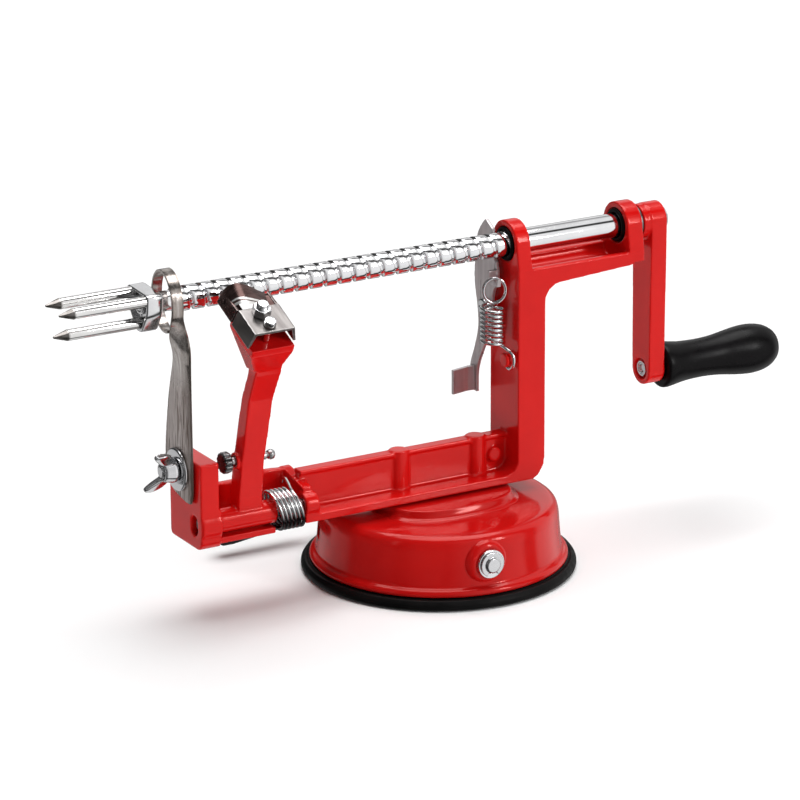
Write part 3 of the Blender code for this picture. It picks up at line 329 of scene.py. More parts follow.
def make_materials():
    grain_x = (0.06, 1.0, 1.0)
    grain_y = (1.0, 0.08, 0.3)
    grain_z = (1.0, 1.0, 0.05)
    return {
        "frame_red": gloss_red("cast_red_enamel"),
        "shell_red": gloss_red("pressed_red_enamel", 0.84, 0.35),
        "screw": bright_steel("polished_screw", 0.90, grain_x, 0.03, 0.11),
        "plated": bright_steel("zinc_plate", 0.78, EVEN, 0.12, 0.3),
        "bright": bright_steel("bright_plate", 0.88, EVEN, 0.06, 0.2),
        "prong": pointed_steel("ground_prongs"),
        "knife": wavy_steel("rolled_knife_steel"),
        # painted reflection: the blade's dark brown base colour stands for the dark surroundings
        # mirrored in its hollow
        "blade": brushed_steel("blade_steel_with_painted_dark_reflection", (0.045, 0.024, 0.022), (0.20, 0.13, 0.12),
            grain_x, 0.2, 0.36),
        "ground": brushed_steel("ground_cutting_edge", (0.80, 0.78, 0.76), (0.97, 0.96, 0.95),
            grain_x, 0.3, 0.5),
        # painted shade: a darker copy of the folded sheet steel for the blade holder's shaded sides,
        # which also dims the sun's reflection on its top
        "channel": brushed_steel("sheet_steel_darkened_for_painted_shade", (0.10, 0.09, 0.09), (0.36, 0.34, 0.33),
            grain_y, 0.26, 0.42),
        "holder": brushed_steel("folded_sheet_steel", (0.34, 0.31, 0.30), (0.74, 0.70, 0.68),
            grain_y, 0.14, 0.3),
        "buckle": brushed_steel("stamped_sheet_steel", (0.36, 0.33, 0.34), (0.66, 0.62, 0.63),
            grain_z, 0.24, 0.40, metallic=0.6),
        "wire": bright_steel("bright_spring_wire", 0.85, EVEN, 0.06, 0.18),
        "shade_painted_wire": shade_painted_wire("spring_wire_with_painted_shade"),
        # near-black steel: on the thrust washer it is painted shade in the gap between the right
        # bearing and the crank arm; the latch knob uses it too
        "dark_steel": brushed_steel("dark_steel_with_painted_gap_shade", (0.02, 0.02, 0.022), (0.11, 0.11, 0.115), EVEN),
        "inner_steel": brushed_steel("turned_inner_steel", (0.36, 0.36, 0.37), (0.62, 0.62, 0.63),
            grain_x),
        "rubber": black_rubber("pad_rubber_skin"),
        "grip": black_plastic("gloss_black_grip", 0.24, 0.36, 0.02),
        "nylon": black_plastic("black_nylon", 0.35, 0.5, 0.06),
        "vinyl": black_plastic("dipped_vinyl", 0.38, 0.55, 0.15),
    }


LOOKS = make_materials()


# ---------------------------------------------------------------- mesh tools

CREASE = 35.0  # degrees between faces that still look smooth
SAME_SPOT = 2e-7  # metres
ON_AXIS = 1e-6  # millimetres


def round_turn(count):
    """So many angles, evenly round one turn."""
    return [TAU * step / count for step in range(count)]


def linked(name, data):
    """A new object in the scene."""
    made = bpy.data.objects.new(name, data)
    bpy.context.scene.collection.objects.link(made)
    return made


def mesh_piece(name, points, faces, crease=CREASE):
    mesh = bpy.data.meshes.new(name)
    mesh.from_pydata([Vector(point) * MM for point in points], [], faces)
    work = bmesh.new()
    work.from_mesh(mesh)
    bmesh.ops.remove_doubles(work, verts=work.verts, dist=SAME_SPOT)
    bmesh.ops.dissolve_degenerate(work, edges=work.edges, dist=SAME_SPOT)
    bmesh.ops.recalc_face_normals(work, faces=work.faces)
    work.to_mesh(mesh)
    work.free()
    return smooth_shaded(linked(name, mesh), crease)


def smooth_shaded(piece, crease=CREASE):
    piece.data.shade_smooth()
    piece.data.set_sharp_from_angle(angle=radians(crease))
    return piece


def stand_in(piece, look, *nodes):
    """The piece takes the place and body of its CAD nodes, which it hides, and gets the given look."""
    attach(piece, NODES[nodes[0]]["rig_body"])
    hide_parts(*nodes)
    piece.data.materials.clear()
    piece.data.materials.append(LOOKS[look])
    return piece


def extra(piece, look, node):
    """A trim piece that rides with a CAD node, with the given look."""
    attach(piece, NODES[node]["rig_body"])
    piece.data.materials.clear()
    piece.data.materials.append(LOOKS[look])
    return piece


def baked(piece):
    """The piece with its modifiers applied."""
    graph = bpy.context.evaluated_depsgraph_get()
    result = bpy.data.meshes.new_from_object(piece.evaluated_get(graph))
    piece.modifiers.clear()
    piece.data = result
    return piece


def modifier(piece, kind, **settings):
    made = piece.modifiers.new(kind.lower(), kind)
    for key, value in settings.items():
        setattr(made, key, value)
    return made


def softened(piece, voxel, rounds, crease=40.0):
    """One skin over everything in the piece, with its edges rounded as in a casting."""
    modifier(piece, "REMESH", mode="VOXEL", voxel_size=voxel * MM, adaptivity=0.0)
    modifier(piece, "SMOOTH", factor=0.5, iterations=rounds)
    baked(piece)
    return smooth_shaded(piece, crease)


def node_copy(name, node):
    copy = linked(name, NODES[node].data.copy())
    work = bmesh.new()
    work.from_mesh(copy.data)
    bmesh.ops.remove_doubles(work, verts=work.verts, dist=1e-6)
    work.to_mesh(copy.data)
    work.free()
    return copy


def rounded_copy(name, node, look, voxel, rounds):
    """The CAD solid itself as a stand-in, with its edges rounded."""
    return stand_in(softened(node_copy(name, node), voxel, rounds), look, node)


def rounded_cast(name, node, rounds, voxel):
    """A painted casting: the CAD solid and the round parts over it, under one skin."""
    casting = softened(merged([node_copy(name, node), *rounds]), voxel, 5, 180.0)
    return stand_in(casting, "frame_red", node)


def merged(pieces):
    """Several meshes in one object, for a skin to be drawn over them."""
    first = pieces[0]
    work = bmesh.new()
    for piece in pieces:
        work.from_mesh(piece.data)
    work.to_mesh(first.data)
    work.free()
    for piece in pieces[1:]:
        bpy.data.objects.remove(piece, do_unlink=True)
    return first


def subtract(piece, *tools):
    for tool in tools:
        modifier(piece, "BOOLEAN", operation="DIFFERENCE", solver="EXACT", object=tool)
    baked(piece)
    for tool in tools:
        bpy.data.objects.remove(tool, do_unlink=True)
    return smooth_shaded(piece)


def loft(name, rings, crease=CREASE):
    count = len(rings[0])
    points = [point for ring in rings for point in ring]
    faces = [list(range(count))]
    for index in range(len(rings) - 1):
        low = index * count
        high = low + count
        for side in range(count):
            after = (side + 1) % count
            faces.append([low + side, low + after, high + after, high + side])
    faces.append([len(points) - count + side for side in range(count)])
    return mesh_piece(name, points, faces, crease)


def cuboid(name, x_range, y_range, z_range):
    (front, back), (low, high) = y_range, z_range
    return loft(name, [[(x, front, low), (x, back, low), (x, back, high), (x, front, high)]
        for x in x_range])


def placed(axis, centre):
    """A matrix that takes (across, up, along) to the row's space, for a turned piece on an axis."""
    if axis == "X":
        return Matrix(((0, 0, 1, 0), (1, 0, 0, centre[0]), (0, 1, 0, centre[1]), (0, 0, 0, 1)))
    if axis == "Y":
        return Matrix(((1, 0, 0, centre[0]), (0, 0, 1, 0), (0, 1, 0, centre[1]), (0, 0, 0, 1)))
    return Matrix.Translation((centre[0], centre[1], 0.0))


def on_holder_frame(spot):
    """The same for a piece that stands on the tilted blade holder at (x, forward)."""
    x, forward = spot
    way = Vector((0.0, cos(HOLDER_TILT), sin(HOLDER_TILT)))
    lift = Vector((0.0, -sin(HOLDER_TILT), cos(HOLDER_TILT)))
    base = Vector((x, *HOLDER_FRONT)) + way * forward
    return Matrix(((1, way.x, lift.x, base.x), (0, way.y, lift.y, base.y),
        (0, way.z, lift.z, base.z), (0, 0, 0, 1)))


def off_axis(profile):
    """Whether a profile starts or ends away from the axis, so that it closes on itself."""
    return profile[0][1] > ON_AXIS or profile[-1][1] > ON_AXIS


def turned(name, place, profile, sides=96, shape=None, crease=CREASE):
    """Turn a profile of (along, radius) pairs. A shape function may change the radius."""
    count = len(profile)
    closed = off_axis(profile)
    points = []
    faces = []
    for angle in round_turn(sides):
        for position, radius in profile:
            if shape:
                radius = shape(angle, position, radius)
            spot = Vector((radius * cos(angle), radius * sin(angle), position))
            points.append(place @ spot)
    for side in range(sides):
        here = side * count
        there = ((side + 1) % sides) * count
        for index in range(count if closed else count - 1):
            after = (index + 1) % count
            faces.append([here + index, here + after, there + after, there + index])
    return mesh_piece(name, points, faces, crease)


def turned_part(node, suffix, look, place, profile, ease, sides, shape=None, crease=CREASE):
    """A turned stand-in for one CAD node, with its corners eased."""
    piece = turned(f"{node}_{suffix}", place, eased(profile, ease), sides, shape, crease)
    return stand_in(piece, look, node)


def arc_corner(before, corner, after, radius, steps=4):
    """Points of a small arc in place of a corner."""
    back = before - corner
    ahead = after - corner
    reach = min(radius, 0.42 * back.length, 0.42 * ahead.length)
    start = corner + back.normalized() * reach
    end = corner + ahead.normalized() * reach
    spots = []
    for step in range(steps + 1):
        share = step / steps
        spots.append(start.lerp(corner, share).lerp(corner.lerp(end, share), share))
    return spots


def eased(profile, radius, closed=None):
    """The profile with each of its corners turned into a small arc."""
    if closed is None:
        closed = off_axis(profile)
    spots = [Vector(point) for point in profile]
    result = []
    for index, corner in enumerate(spots):
        if not closed and index in (0, len(spots) - 1):
            result.append(corner)
            continue
        before = spots[index - 1]
        after = spots[(index + 1) % len(spots)]
        result.extend(arc_corner(before, corner, after, radius))
    return [tuple(spot) for spot in result]


def spline(points, steps):
    """A smooth line through points, with so many steps between each pair."""
    spots = [Vector(point) for point in points]
    result = []
    for index in range(len(spots) - 1):
        before = spots[max(index - 1, 0)]
        start, end = spots[index], spots[index + 1]
        after = spots[min(index + 2, len(spots) - 1)]
        pull = end - before
        bend = 2.0 * before - 5.0 * start + 4.0 * end - after
        twist = 3.0 * start - before - 3.0 * end + after
        for step in range(steps):
            t = step / steps
            result.append(0.5 * (2.0 * start + pull * t + bend * t * t + twist * t ** 3))
    result.append(spots[-1])
    return result


def relaxed(line, rounds):
    """The line with its kinks evened out and its ends kept."""
    for _ in range(rounds):
        inner = []
        for before, here, after in zip(line, line[1:], line[2:]):
            inner.append((before + here * 2.0 + after) / 4.0)
        line = [line[0], *inner, line[-1]]
    return line


def wire(name, path, radius, sides=14):
    """A round wire along a path, with slightly rounded ends."""
    spots = [Vector(point) for point in path]
    heading = (spots[1] - spots[0]).normalized()
    side_way = heading.orthogonal().normalized()
    rings = []
    for index, spot in enumerate(spots):
        before = spots[max(index - 1, 0)]
        after = spots[min(index + 1, len(spots) - 1)]
        turned_way = (after - before).normalized()
        side_way = (side_way - turned_way * side_way.dot(turned_way)).normalized()
        other = turned_way.cross(side_way)
        size = radius * (0.7 if index in (0, len(spots) - 1) else 1.0)
        ring = []
        for angle in round_turn(sides):
            ring.append(spot + (side_way * cos(angle) + other * sin(angle)) * size)
        rings.append(ring)
    return loft(name, rings, 50.0)


# ---------------------------------------------------------------- suction base

def make_pad():
    profile = ((0.0, 0.0), (0.0, 48.8), (0.9, 50.0), (2.5, 50.0), (4.0, 48.9), (4.0, 48.0),
        (3.6, 47.6), (3.6, 46.9), (4.0, 46.5), (4.0, 10.0), (5.5, 9.0), (5.5, 3.3), (2.7, 3.3),
        (2.7, 0.0))
    turned_part("suction_pad", "rubber", "rubber", placed("Z", (0.0, 0.0)), profile, 1.2, 192)


def make_shell():
    profile = ((4.3, 41.5), (4.3, 46.9), (5.5, 47.0), (6.5, 46.3), (7.3, 44.6), (14.0, 43.95),
        (21.2, 43.4), (23.8, 42.7), (25.3, 40.6), (25.5, 37.0), (25.5, 0.0), (23.3, 0.0),
        (23.3, 39.0), (21.8, 40.8))
    shell = turned("base_shell_pressing", placed("Z", (0.0, 0.0)),
        eased(profile, 1.4, closed=False), 192)
    slot = softened(cuboid("side_slot", (-56.0, -36.0), (13.4, 18.6), (12.6, 17.6)), 0.3, 6)
    subtract(shell, slot)
    stand_in(shell, "shell_red", "base_shell")
    rings = []
    steps = 120
    for height, grow in ((24.0, 4.2), (25.5, 3.4), (25.75, 2.2), (26.4, 1.5), (27.6, 1.0),
            (28.2, 0.8), (28.45, 0.6), (28.58, 0.2), (28.6, -0.6)):
        ring = []
        for angle in round_turn(steps):
            reach, width = cos(angle), sin(angle)
            x = (24.5 + grow) * copysign(abs(reach) ** 0.7, reach) + 0.5
            y = (20.0 + grow) * copysign(abs(width) ** 0.8, width)
            ring.append((x, y, height))
        rings.append(ring)
    deck = loft("base_shell_deck", rings, 60.0)
    extra(deck, "shell_red", "base_shell")
    for name, side in (("base_shell_boss_front", -1.0), ("base_shell_boss_back", 1.0)):
        outline = [(44.6, 3.4), (44.6, 5.7), (44.5, 6.3), (44.15, 7.0), (43.6, 7.6), (42.6, 8.2),
            (41.0, 8.6), (41.0, 3.4)]
        outline = eased([(side * depth, radius) for depth, radius in outline], 0.3)
        extra(turned(name, placed("Y", AXLE), outline, 96), "shell_red", "base_shell")


def make_suction_drive():
    turned_part("cam_axle", "turned", "plated", placed("Y", AXLE),
        ((-47.8, 0.0), (-47.8, 2.4), (-47.2, 3.0), (-46.95, 3.0), (-46.95, 2.3), (-46.15, 2.3),
        (-46.15, 3.0), (49.6, 3.0), (50.0, 2.6), (50.0, 0.0)), 0.2, 64)
    throw, tilt = 1.53, radians(235.0)
    lobe_spot = (AXLE[0] + throw * cos(tilt), AXLE[1] + throw * sin(tilt))
    lobe = turned("cam_axle_lobe", placed("Y", lobe_spot),
        eased(((-4.0, 0.0), (-4.0, 4.5), (4.0, 4.5), (4.0, 0.0)), 0.4), 72)
    extra(lobe, "plated", "cam_axle")
    rounded_copy("pad_puller_bar", "pad_puller", "holder", 0.3, 3)
    rounded_copy("suction_lever_strap", "suction_lever", "holder", 0.35, 3)
    rounded_copy("lever_grip_sleeve", "lever_grip", "vinyl", 0.35, 8)
    turned_part("axle_washer", "turned", "bright", placed("Y", AXLE),
        ((-46.0, 3.3), (-46.0, 5.2), (-45.0, 5.4), (-45.0, 3.3)), 0.2, 72)
    rounded_copy("axle_clip_ring", "axle_clip", "plated", 0.14, 3)
    for number, x in enumerate(BASE_BOLT_X):
        profile = ((20.4, 0.0), (20.4, 2.4), (21.0, 3.0), (23.0, 3.0), (23.0, 1.9), (40.0, 1.9),
            (40.8, 1.3), (40.8, 0.0))
        bolt = turned(f"base_bolt_turned_{number + 1}", placed("Z", (x, 0.0)), eased(profile, 0.3), 48)
        stand_in(bolt, "plated", f"base_bolt_{number + 1}")


# ---------------------------------------------------------------- frame casting

def tube_of(name, centre, inner, outer, low, high, sides=120):
    return turned(name, placed("X", centre), ((low, inner), (low, outer), (high, outer),
        (high, inner)), sides)


def make_frame():
    rounds = [
        tube_of("left_ring", SHAFT, 6.4, 8.6, 27.6, 33.4),
        tube_of("right_ring", SHAFT, 6.4, 8.6, 74.4, 80.8),
        tube_of("pivot_lug", PIVOT, 2.3, 4.4, -59.9, -54.5),
        tube_of("pivot_boss", PIVOT, 4.4, 6.7, -102.2, -94.6),
    ]
    for x in BASE_BOLT_X:
        rounds.append(turned("rib", placed("Z", (x, 0.0)), ((30.0, 2.3), (30.0, 3.6), (46.6, 3.6),
            (46.9, 3.2), (46.9, 0.0), (42.0, 0.0), (42.0, 2.3)), 96))
    rounded_cast("frame_casting_skin", "frame_casting", rounds, 0.38)
    for name, low, high in (("left", 27.0, 34.0), ("right", 73.8, 81.0)):
        outline = ((low, 4.75), (low, 5.8), (low + 0.4, 6.1), (high - 0.4, 6.1), (high, 5.8),
            (high, 4.75))
        turned_part(f"bearing_bush_{name}", "sleeve", "nylon", placed("X", SHAFT), outline, 0.25, 96)


# ---------------------------------------------------------------- feed screw and fork

def thread_reach(x):
    """Groove depth at a place along the screw: it runs out smoothly at both ends."""
    near_end = min(x - THREAD_LEFT, THREAD_RIGHT - x)
    return THREAD_DEPTH * min(max(near_end / 2.5, 0.0), 1.0)


def screw_skin(columns=72):
    """The rod with its flat-bottomed right-hand groove, with eased lips and roots."""
    steps = ((0.0, 0.0), (1.4, 0.0), (2.8, 0.0), (3.95, 0.0), (4.08, 0.05), (4.18, 0.25),
        (4.32, 0.85), (4.42, 0.98), (4.6, 1.0), (5.3, 1.0), (5.48, 0.98), (5.58, 0.85),
        (5.68, 0.25), (5.75, 0.05))
    turns = int((THREAD_RIGHT - THREAD_LEFT) / THREAD_LEAD) + 4
    phase = TOOTH_X - GROOVE_MIDDLE - THREAD_LEAD * TOOTH_ANGLE / 360.0
    first = phase - THREAD_LEAD * (ceil((phase - THREAD_LEFT) / THREAD_LEAD) + 2)
    rows = turns * len(steps)
    points = []
    faces = []
    for column in range(columns):
        angle = TAU * column / columns
        for row in range(rows):
            step = steps[row % len(steps)]
            x = first + THREAD_LEAD * (row // len(steps) + column / columns) + step[0]
            x = min(max(x, THREAD_LEFT), THREAD_RIGHT)
            radius = SHAFT_R - thread_reach(x) * step[1]
            points.append((x, radius * cos(angle), SHAFT_Z + radius * sin(angle)))
    for column in range(columns):
        after = (column + 1) % columns
        shift = 0 if after else len(steps)
        for row in range(rows - 1 - shift):
            here = column * rows + row
            there = after * rows + row + shift
            faces.append([here, there, there + 1, here + 1])
    return mesh_piece("feed_screw_thread", points, faces, 50.0)


def make_screw():
    place = placed("X", SHAFT)
    stand_in(screw_skin(), "screw", "feed_screw")
    left = eased(((-106.0, 4.45), (-106.5, 3.6), (-113.3, 3.6), (-113.3, 2.0), (-118.9, 2.0),
        (-119.3, 1.6), (-119.3, 0.0)), 0.25, closed=False)
    right = eased(((29.5, 4.45), (85.8, 4.45), (85.8, 3.0), (91.1, 3.0), (91.1, 0.0)), 0.2,
        closed=False)
    extra(turned("feed_screw_nose", place, [*left, (-106.0, 0.0)], 72), "screw", "feed_screw")
    extra(turned("feed_screw_plain", place, [(29.5, 0.0), *right], 96), "screw", "feed_screw")


def shield_outline(steps=8):
    corners = [Vector(spot) for spot in ((7.9, 5.9), (-8.1, 5.1), (-7.4, -2.0), (-2.6, -9.3),
        (1.6, -9.3), (8.1, -0.4))]
    outline = []
    for index, corner in enumerate(corners):
        after = corners[(index + 1) % len(corners)]
        outline.extend(arc_corner(corners[index - 1], corner, after, 2.0, steps))
    return outline


def pencil_point(angle, position, radius):
    """Four ground flats on the tip of a prong, which die out at its shoulder."""
    if position > -146.6:
        return radius
    inside = (angle + 0.35) % (TAU / 4.0) - TAU / 8.0
    return min(radius, radius * 0.80 / cos(inside) + 0.12 * max(position + 149.0, 0.0))


def make_fork():
    outline = shield_outline()
    rings = []
    for x, scale, inset in ((-113.4, 1.0, 0.5), (-113.55, 1.0, 0.15), (-113.9, 1.0, 0.0),
            (-119.0, 1.0, 0.0), (-119.35, 1.0, 0.12), (-119.5, 1.0, 0.4), (-119.5, 0.86, -0.3),
            (-119.35, 0.86, 0.0), (-117.7, 0.86, 0.1), (-117.4, 0.86, 0.3), (-117.3, 0.86, 0.8)):
        left_over = 1.0 - inset / 8.0
        rings.append([(x, spot.x * scale * left_over, SHAFT_Z + spot.y * scale * left_over)
            for spot in outline])
    stand_in(loft("fork_hub_plated", rings, 50.0), "bright", "fork_hub")
    for number, spot in enumerate(((5.0, 3.6), (-5.5, 2.8), (-0.4, -6.2))):
        profile = ((-152.0, 0.0), (-151.9, 0.4), (-149.4, 1.18), (-146.7, 1.98), (-146.4, 2.0),
            (-117.6, 2.0), (-117.6, 1.5), (-115.4, 1.5), (-115.4, 0.0))
        prong = turned(f"fork_prong_ground_{number + 1}", placed("X", (spot[0], SHAFT_Z + spot[1])),
            eased(profile, 0.15), 48, pencil_point, 22.0)
        stand_in(prong, "prong", f"fork_prong_{number + 1}")
    turned_part("fork_nut", "turned", "plated", placed("X", SHAFT), ((-119.0, 2.3), (-119.0, 3.0),
        (-118.6, 3.3), (-117.6, 3.3), (-117.6, 2.3)), 0.15, 60)


# ---------------------------------------------------------------- crank and grip

def six_sided(flat, turn=0.0):
    """Limits a turned radius to a hexagon, which leaves the usual chamfered corners."""
    def shape(angle, position, radius):
        inside = (angle - turn) % (TAU / 6.0) - TAU / 12.0
        return min(radius, flat / cos(inside))
    return shape


def make_crank():
    # painted shade: the thrust washer is near black to stand for the shaded gap between the right
    # bearing and the crank arm
    turned_part("thrust_washer", "turned", "dark_steel", placed("X", SHAFT),
        ((81.3, 4.75), (81.3, 6.4), (82.6, 6.4), (82.6, 4.75)), 0.3, 96)
    rounds = [
        tube_of("collar", SHAFT, 4.75, 6.4, 83.0, 86.4),
        tube_of("top", SHAFT, 3.3, 6.6, 86.0, 92.7),
        tube_of("foot", GRIP, 2.8, 5.9, 87.3, 92.7),
        tube_of("grip_face", GRIP, 2.8, 5.4, 92.0, 93.3),
        tube_of("foot_rim", GRIP, 3.9, 5.9, 86.0, 87.4),
    ]
    rounded_cast("crank_arm_skin", "crank_arm", rounds, 0.33)
    screw = turned("crank_screw_domed", placed("X", SHAFT),
        eased(((91.4, 0.0), (91.4, 2.9), (93.0, 2.9), (93.0, 4.8), (94.1, 4.6), (95.1, 3.2),
        (95.5, 0.0)), 0.5), 84)
    subtract(screw, cuboid("driver_slot", (94.4, 97.0), (-6.0, 6.0), (SHAFT_Z - 0.5, SHAFT_Z + 0.5)))
    stand_in(screw, "plated", "crank_screw")


def make_grip():
    shape = ((93.6, 7.6), (94.3, 8.35), (95.6, 8.5), (97.6, 8.3), (103.0, 7.5), (108.4, 7.18),
        (113.7, 7.2), (119.0, 7.6), (124.0, 8.35), (129.0, 9.0), (133.0, 9.2), (136.6, 8.9),
        (140.0, 8.0), (142.6, 6.5), (143.7, 5.4))
    skin = [tuple(spot) for spot in spline(shape, 6)]
    profile = [(93.6, 2.8), (93.6, 6.9), *skin, (143.5, 5.0), (142.3, 5.0), (142.3, 2.8)]
    handle = turned("crank_grip_moulding", placed("X", GRIP), profile, 128, crease=45.0)
    stand_in(handle, "grip", "crank_grip")
    turned_part("grip_bolt", "turned", "plated", placed("X", GRIP),
        ((87.0, 0.0), (87.0, 1.3), (86.4, 1.5), (86.4, 2.1), (86.8, 2.5), (142.6, 2.5),
        (142.6, 4.6), (144.2, 4.4), (145.2, 3.0), (145.6, 0.0)), 0.3, 72)
    nut = turned("grip_bolt_nut", placed("X", GRIP),
        eased(((86.25, 2.2), (86.25, 2.8), (86.6, 3.3), (87.3, 3.3), (87.3, 2.2)), 0.1), 96,
        six_sided(2.75, 0.2), 25.0)
    extra(nut, "plated", "grip_bolt")


# ---------------------------------------------------------------- adjusting buckle

def plate(name, outline, low, high):
    """A stamped plate across X."""
    return loft(name, [[(x, across, up) for across, up in outline] for x in (low, high)])


def make_buckle():
    front_arc = []
    for degrees in range(-62, 61, 6):
        angle = radians(degrees)
        front_arc.append((5.3 * cos(angle), SHAFT_Z + 5.3 * sin(angle)))
    outer = spline(((3.4, 122.2), (6.8, 124.0), (8.6, 124.2), (13.6, 117.6), (15.4, 106.0),
        (15.4, 99.0), (13.6, 91.0), (13.0, 83.0), (15.4, 75.0), (18.6, 67.0), (18.6, 57.8)), 5)
    inner = spline(((14.0, 57.8), (13.8, 66.0), (11.0, 72.6), (7.4, 79.0), (3.6, 84.6), (3.0, 97.0),
        (0.6, 102.0), (-0.4, 106.0), (0.8, 110.4)), 5)
    blank = plate("adjusting_buckle_stamping", [*map(tuple, outer), *map(tuple, inner), *front_arc],
        24.2, 25.4)
    subtract(blank, turned("pivot_hole", placed("X", BUCKLE_PIVOT),
        ((20.0, 0.0), (20.0, 1.9), (30.0, 1.9), (30.0, 0.0)), 40))
    thumb = ((25.3, 15.4), (25.3, 17.0), (21.0, 17.0), (14.6, 15.6), (14.6, 14.2), (21.4, 15.6))
    tab = loft("thumb_tab", [[(x, y, z) for x, y in thumb] for z in (58.0, 67.2)])
    root = ((20.8, -0.2), (25.3, -0.2), (25.3, 1.6), (20.8, 1.0))
    finger = loft("finger_root", [[(x, y, z) for x, y in root] for z in (102.6, 107.6)])
    hook = plate("finger", ((1.0, 103.2), (-6.0, 103.2), (-6.6, 106.2), (-5.4, 106.2),
        (-5.2, 104.7), (1.0, 104.7)), 20.8, 22.4)
    teeth = []
    for radius, half in ((5.8, 11.0), (3.95, 8.0)):
        for sign in (-1.0, 1.0):
            angle = radians(TOOTH_ANGLE + sign * half)
            teeth.append((radius * cos(angle), SHAFT_Z + radius * sin(angle)))
    tooth = plate("tooth", (teeth[0], teeth[1], teeth[3], teeth[2]), 24.38, 25.22)
    buckle = softened(merged([blank, tab, finger, hook, tooth]), 0.2, 3, 180.0)
    stand_in(buckle, "buckle", "adjusting_buckle")
    screw = turned("buckle_screw_head", placed("X", BUCKLE_PIVOT),
        eased(((22.4, 0.0), (22.4, 2.6), (22.8, 3.1), (23.9, 3.1), (23.9, 1.6), (33.4, 1.6),
        (33.4, 0.0)), 0.35), 72)
    subtract(screw, cuboid("driver_slot", (20.0, 23.0), (1.0, 14.0), (91.65, 92.35)))
    stand_in(screw, "plated", "buckle_screw")


def make_buckle_spring():
    middle = Vector((21.5, -3.2, 101.2))
    across = Vector((0.94, -0.34, 0.0)) * 4.1
    path = []
    for step in range(41):
        angle = radians(-75.0 + 335.0 * step / 40)
        path.append(middle + across * cos(angle) + Vector((0.0, 0.0, 4.6 * sin(angle))))
    path = path[::-1]
    coils, per_turn = 8, 30
    high, low = 95.2, 81.4
    coil = []
    for step in range(coils * per_turn + 1):
        angle = radians(60.0) + TAU * step / per_turn
        height = high + (low - high) * step / (coils * per_turn)
        coil.append(Vector((20.9 + 4.1 * cos(angle), -3.0 + 4.1 * sin(angle), height)))
    hook = ((24.2, -6.4, 80.0), (25.4, -9.2, 78.0), (25.7, -9.7, 75.5), (25.7, -8.7, 73.0),
        (25.7, -6.2, 72.0), (25.7, -3.6, 73.1))
    tail = spline([coil[-1], *hook], 6)[1:]
    lead = spline([path[-1], coil[0]], 6)[1:-1]
    stand_in(wire("buckle_spring_coil", [*path, *lead, *coil, *tail], 0.62), "wire", "buckle_spring")


# ---------------------------------------------------------------- paring arm

def make_arm():
    barrel = tube_of("barrel", PIVOT, 2.3, 4.3, -94.1, -71.4)
    rounded_cast("peel_arm_skin", "peel_arm", [barrel], 0.33)
    # The blade holder takes the darkened copy of the sheet steel, which is painted shade.
    rounded_copy("blade_holder_fold", "blade_holder", "channel", 0.22, 3)


def on_holder(x, forward, lift):
    return on_holder_frame((x, forward)) @ Vector((0.0, 0.0, lift))


def make_blade():
    stations = ((-8.7, 16.2, -3.7, 24.3, -3.7), (-8.1, 16.2, -2.1, 24.5, -1.0),
        (-7.2, 16.1, -0.8, 24.4, 0.9), (-5.5, 15.6, 0.5, 23.9, 2.4), (-3.6, 14.9, 0.8, 23.3, 2.9),
        (-1.4, 14.4, 0.3, 22.7, 2.5), (0.8, 14.1, -0.3, 22.1, 1.5), (3.4, 14.0, -1.1, 21.5, 0.0),
        (6.0, 14.2, -1.9, 21.0, -1.4), (7.8, 14.4, -2.8, 20.7, -2.6), (8.5, 14.5, -3.7, 20.6, -3.9))
    corners = [[], [], [], []]
    for across, front, front_lift, back, back_lift in stations:
        outer = HOLDER_X + across
        inner = HOLDER_X + across * 0.9
        corners[0].append(on_holder(outer, front, front_lift))
        corners[1].append(on_holder(outer, back, back_lift))
        corners[2].append(on_holder(inner, back, back_lift - 0.8))
        corners[3].append(on_holder(inner, front + 1.2, front_lift - 0.6))
    lines = [spline(line, 6) for line in corners]
    rings = []
    for front, back, under_back, under_front in zip(*lines):
        rings.append([front, front.lerp(back, 0.16) + (front - under_front) * 0.10,
            front.lerp(back, 0.5), back, under_back, under_front])
    arch = loft("arch", rings, 30.0)
    outline = ((-6.3, 5.6), (6.3, 5.6), (6.3, 13.7), (7.9, 13.7), (7.9, 19.3), (5.2, 19.3),
        (5.2, 11.8), (-5.2, 11.8), (-5.2, 19.3), (-7.9, 19.3), (-7.9, 13.7), (-6.3, 13.7))
    tongue = loft("tongue",
        [[on_holder(HOLDER_X + across, forward, lift) for across, forward in outline]
        for lift in (-2.2, -1.4)])
    straps = []
    for side, back in ((-1.0, 24.8), (1.0, 21.0)):
        wall = []
        for out in (-0.05, 0.85):
            wall.append([on_holder(HOLDER_X + side * (across - out), forward, lift)
                for across, forward, lift in ((9.3, 13.6, -5.9), (9.3, back, -5.9),
                (8.1, back, -1.3), (7.95, 13.6, -0.7))])
        straps.append(loft("strap", wall))
    blade = softened(merged([arch, tongue, *straps]), 0.15, 2, 40.0)
    stand_in(blade, "blade", "paring_blade")
    strip = []
    for front, back, under_back, under_front in list(zip(*lines))[4:-4]:
        out = (front - under_front).normalized()
        rise = (front.lerp(back, 0.5) - under_front.lerp(under_back, 0.5)).normalized()
        far = front.lerp(back, 0.30) + rise * 0.10
        strip.append([front + out * 0.10, far, far - rise * 0.35, front + out * 0.02 - rise * 0.30])
    extra(loft("paring_blade_ground_edge", strip, 40.0), "ground", "paring_blade")


def ridged(count, depth):
    def shape(angle, position, radius):
        return radius * (1.0 - depth * (0.5 + 0.5 * cos(count * angle)) ** 2)
    return shape


def thread_rings(low, high, inner, outer, pitch):
    """Profile points of a fine thread along a stem, drawn as rings."""
    profile = []
    position = low
    while position < high - pitch * 0.5:
        profile.append((position, inner))
        profile.append((position + pitch * 0.5, outer))
        position += pitch
    return profile


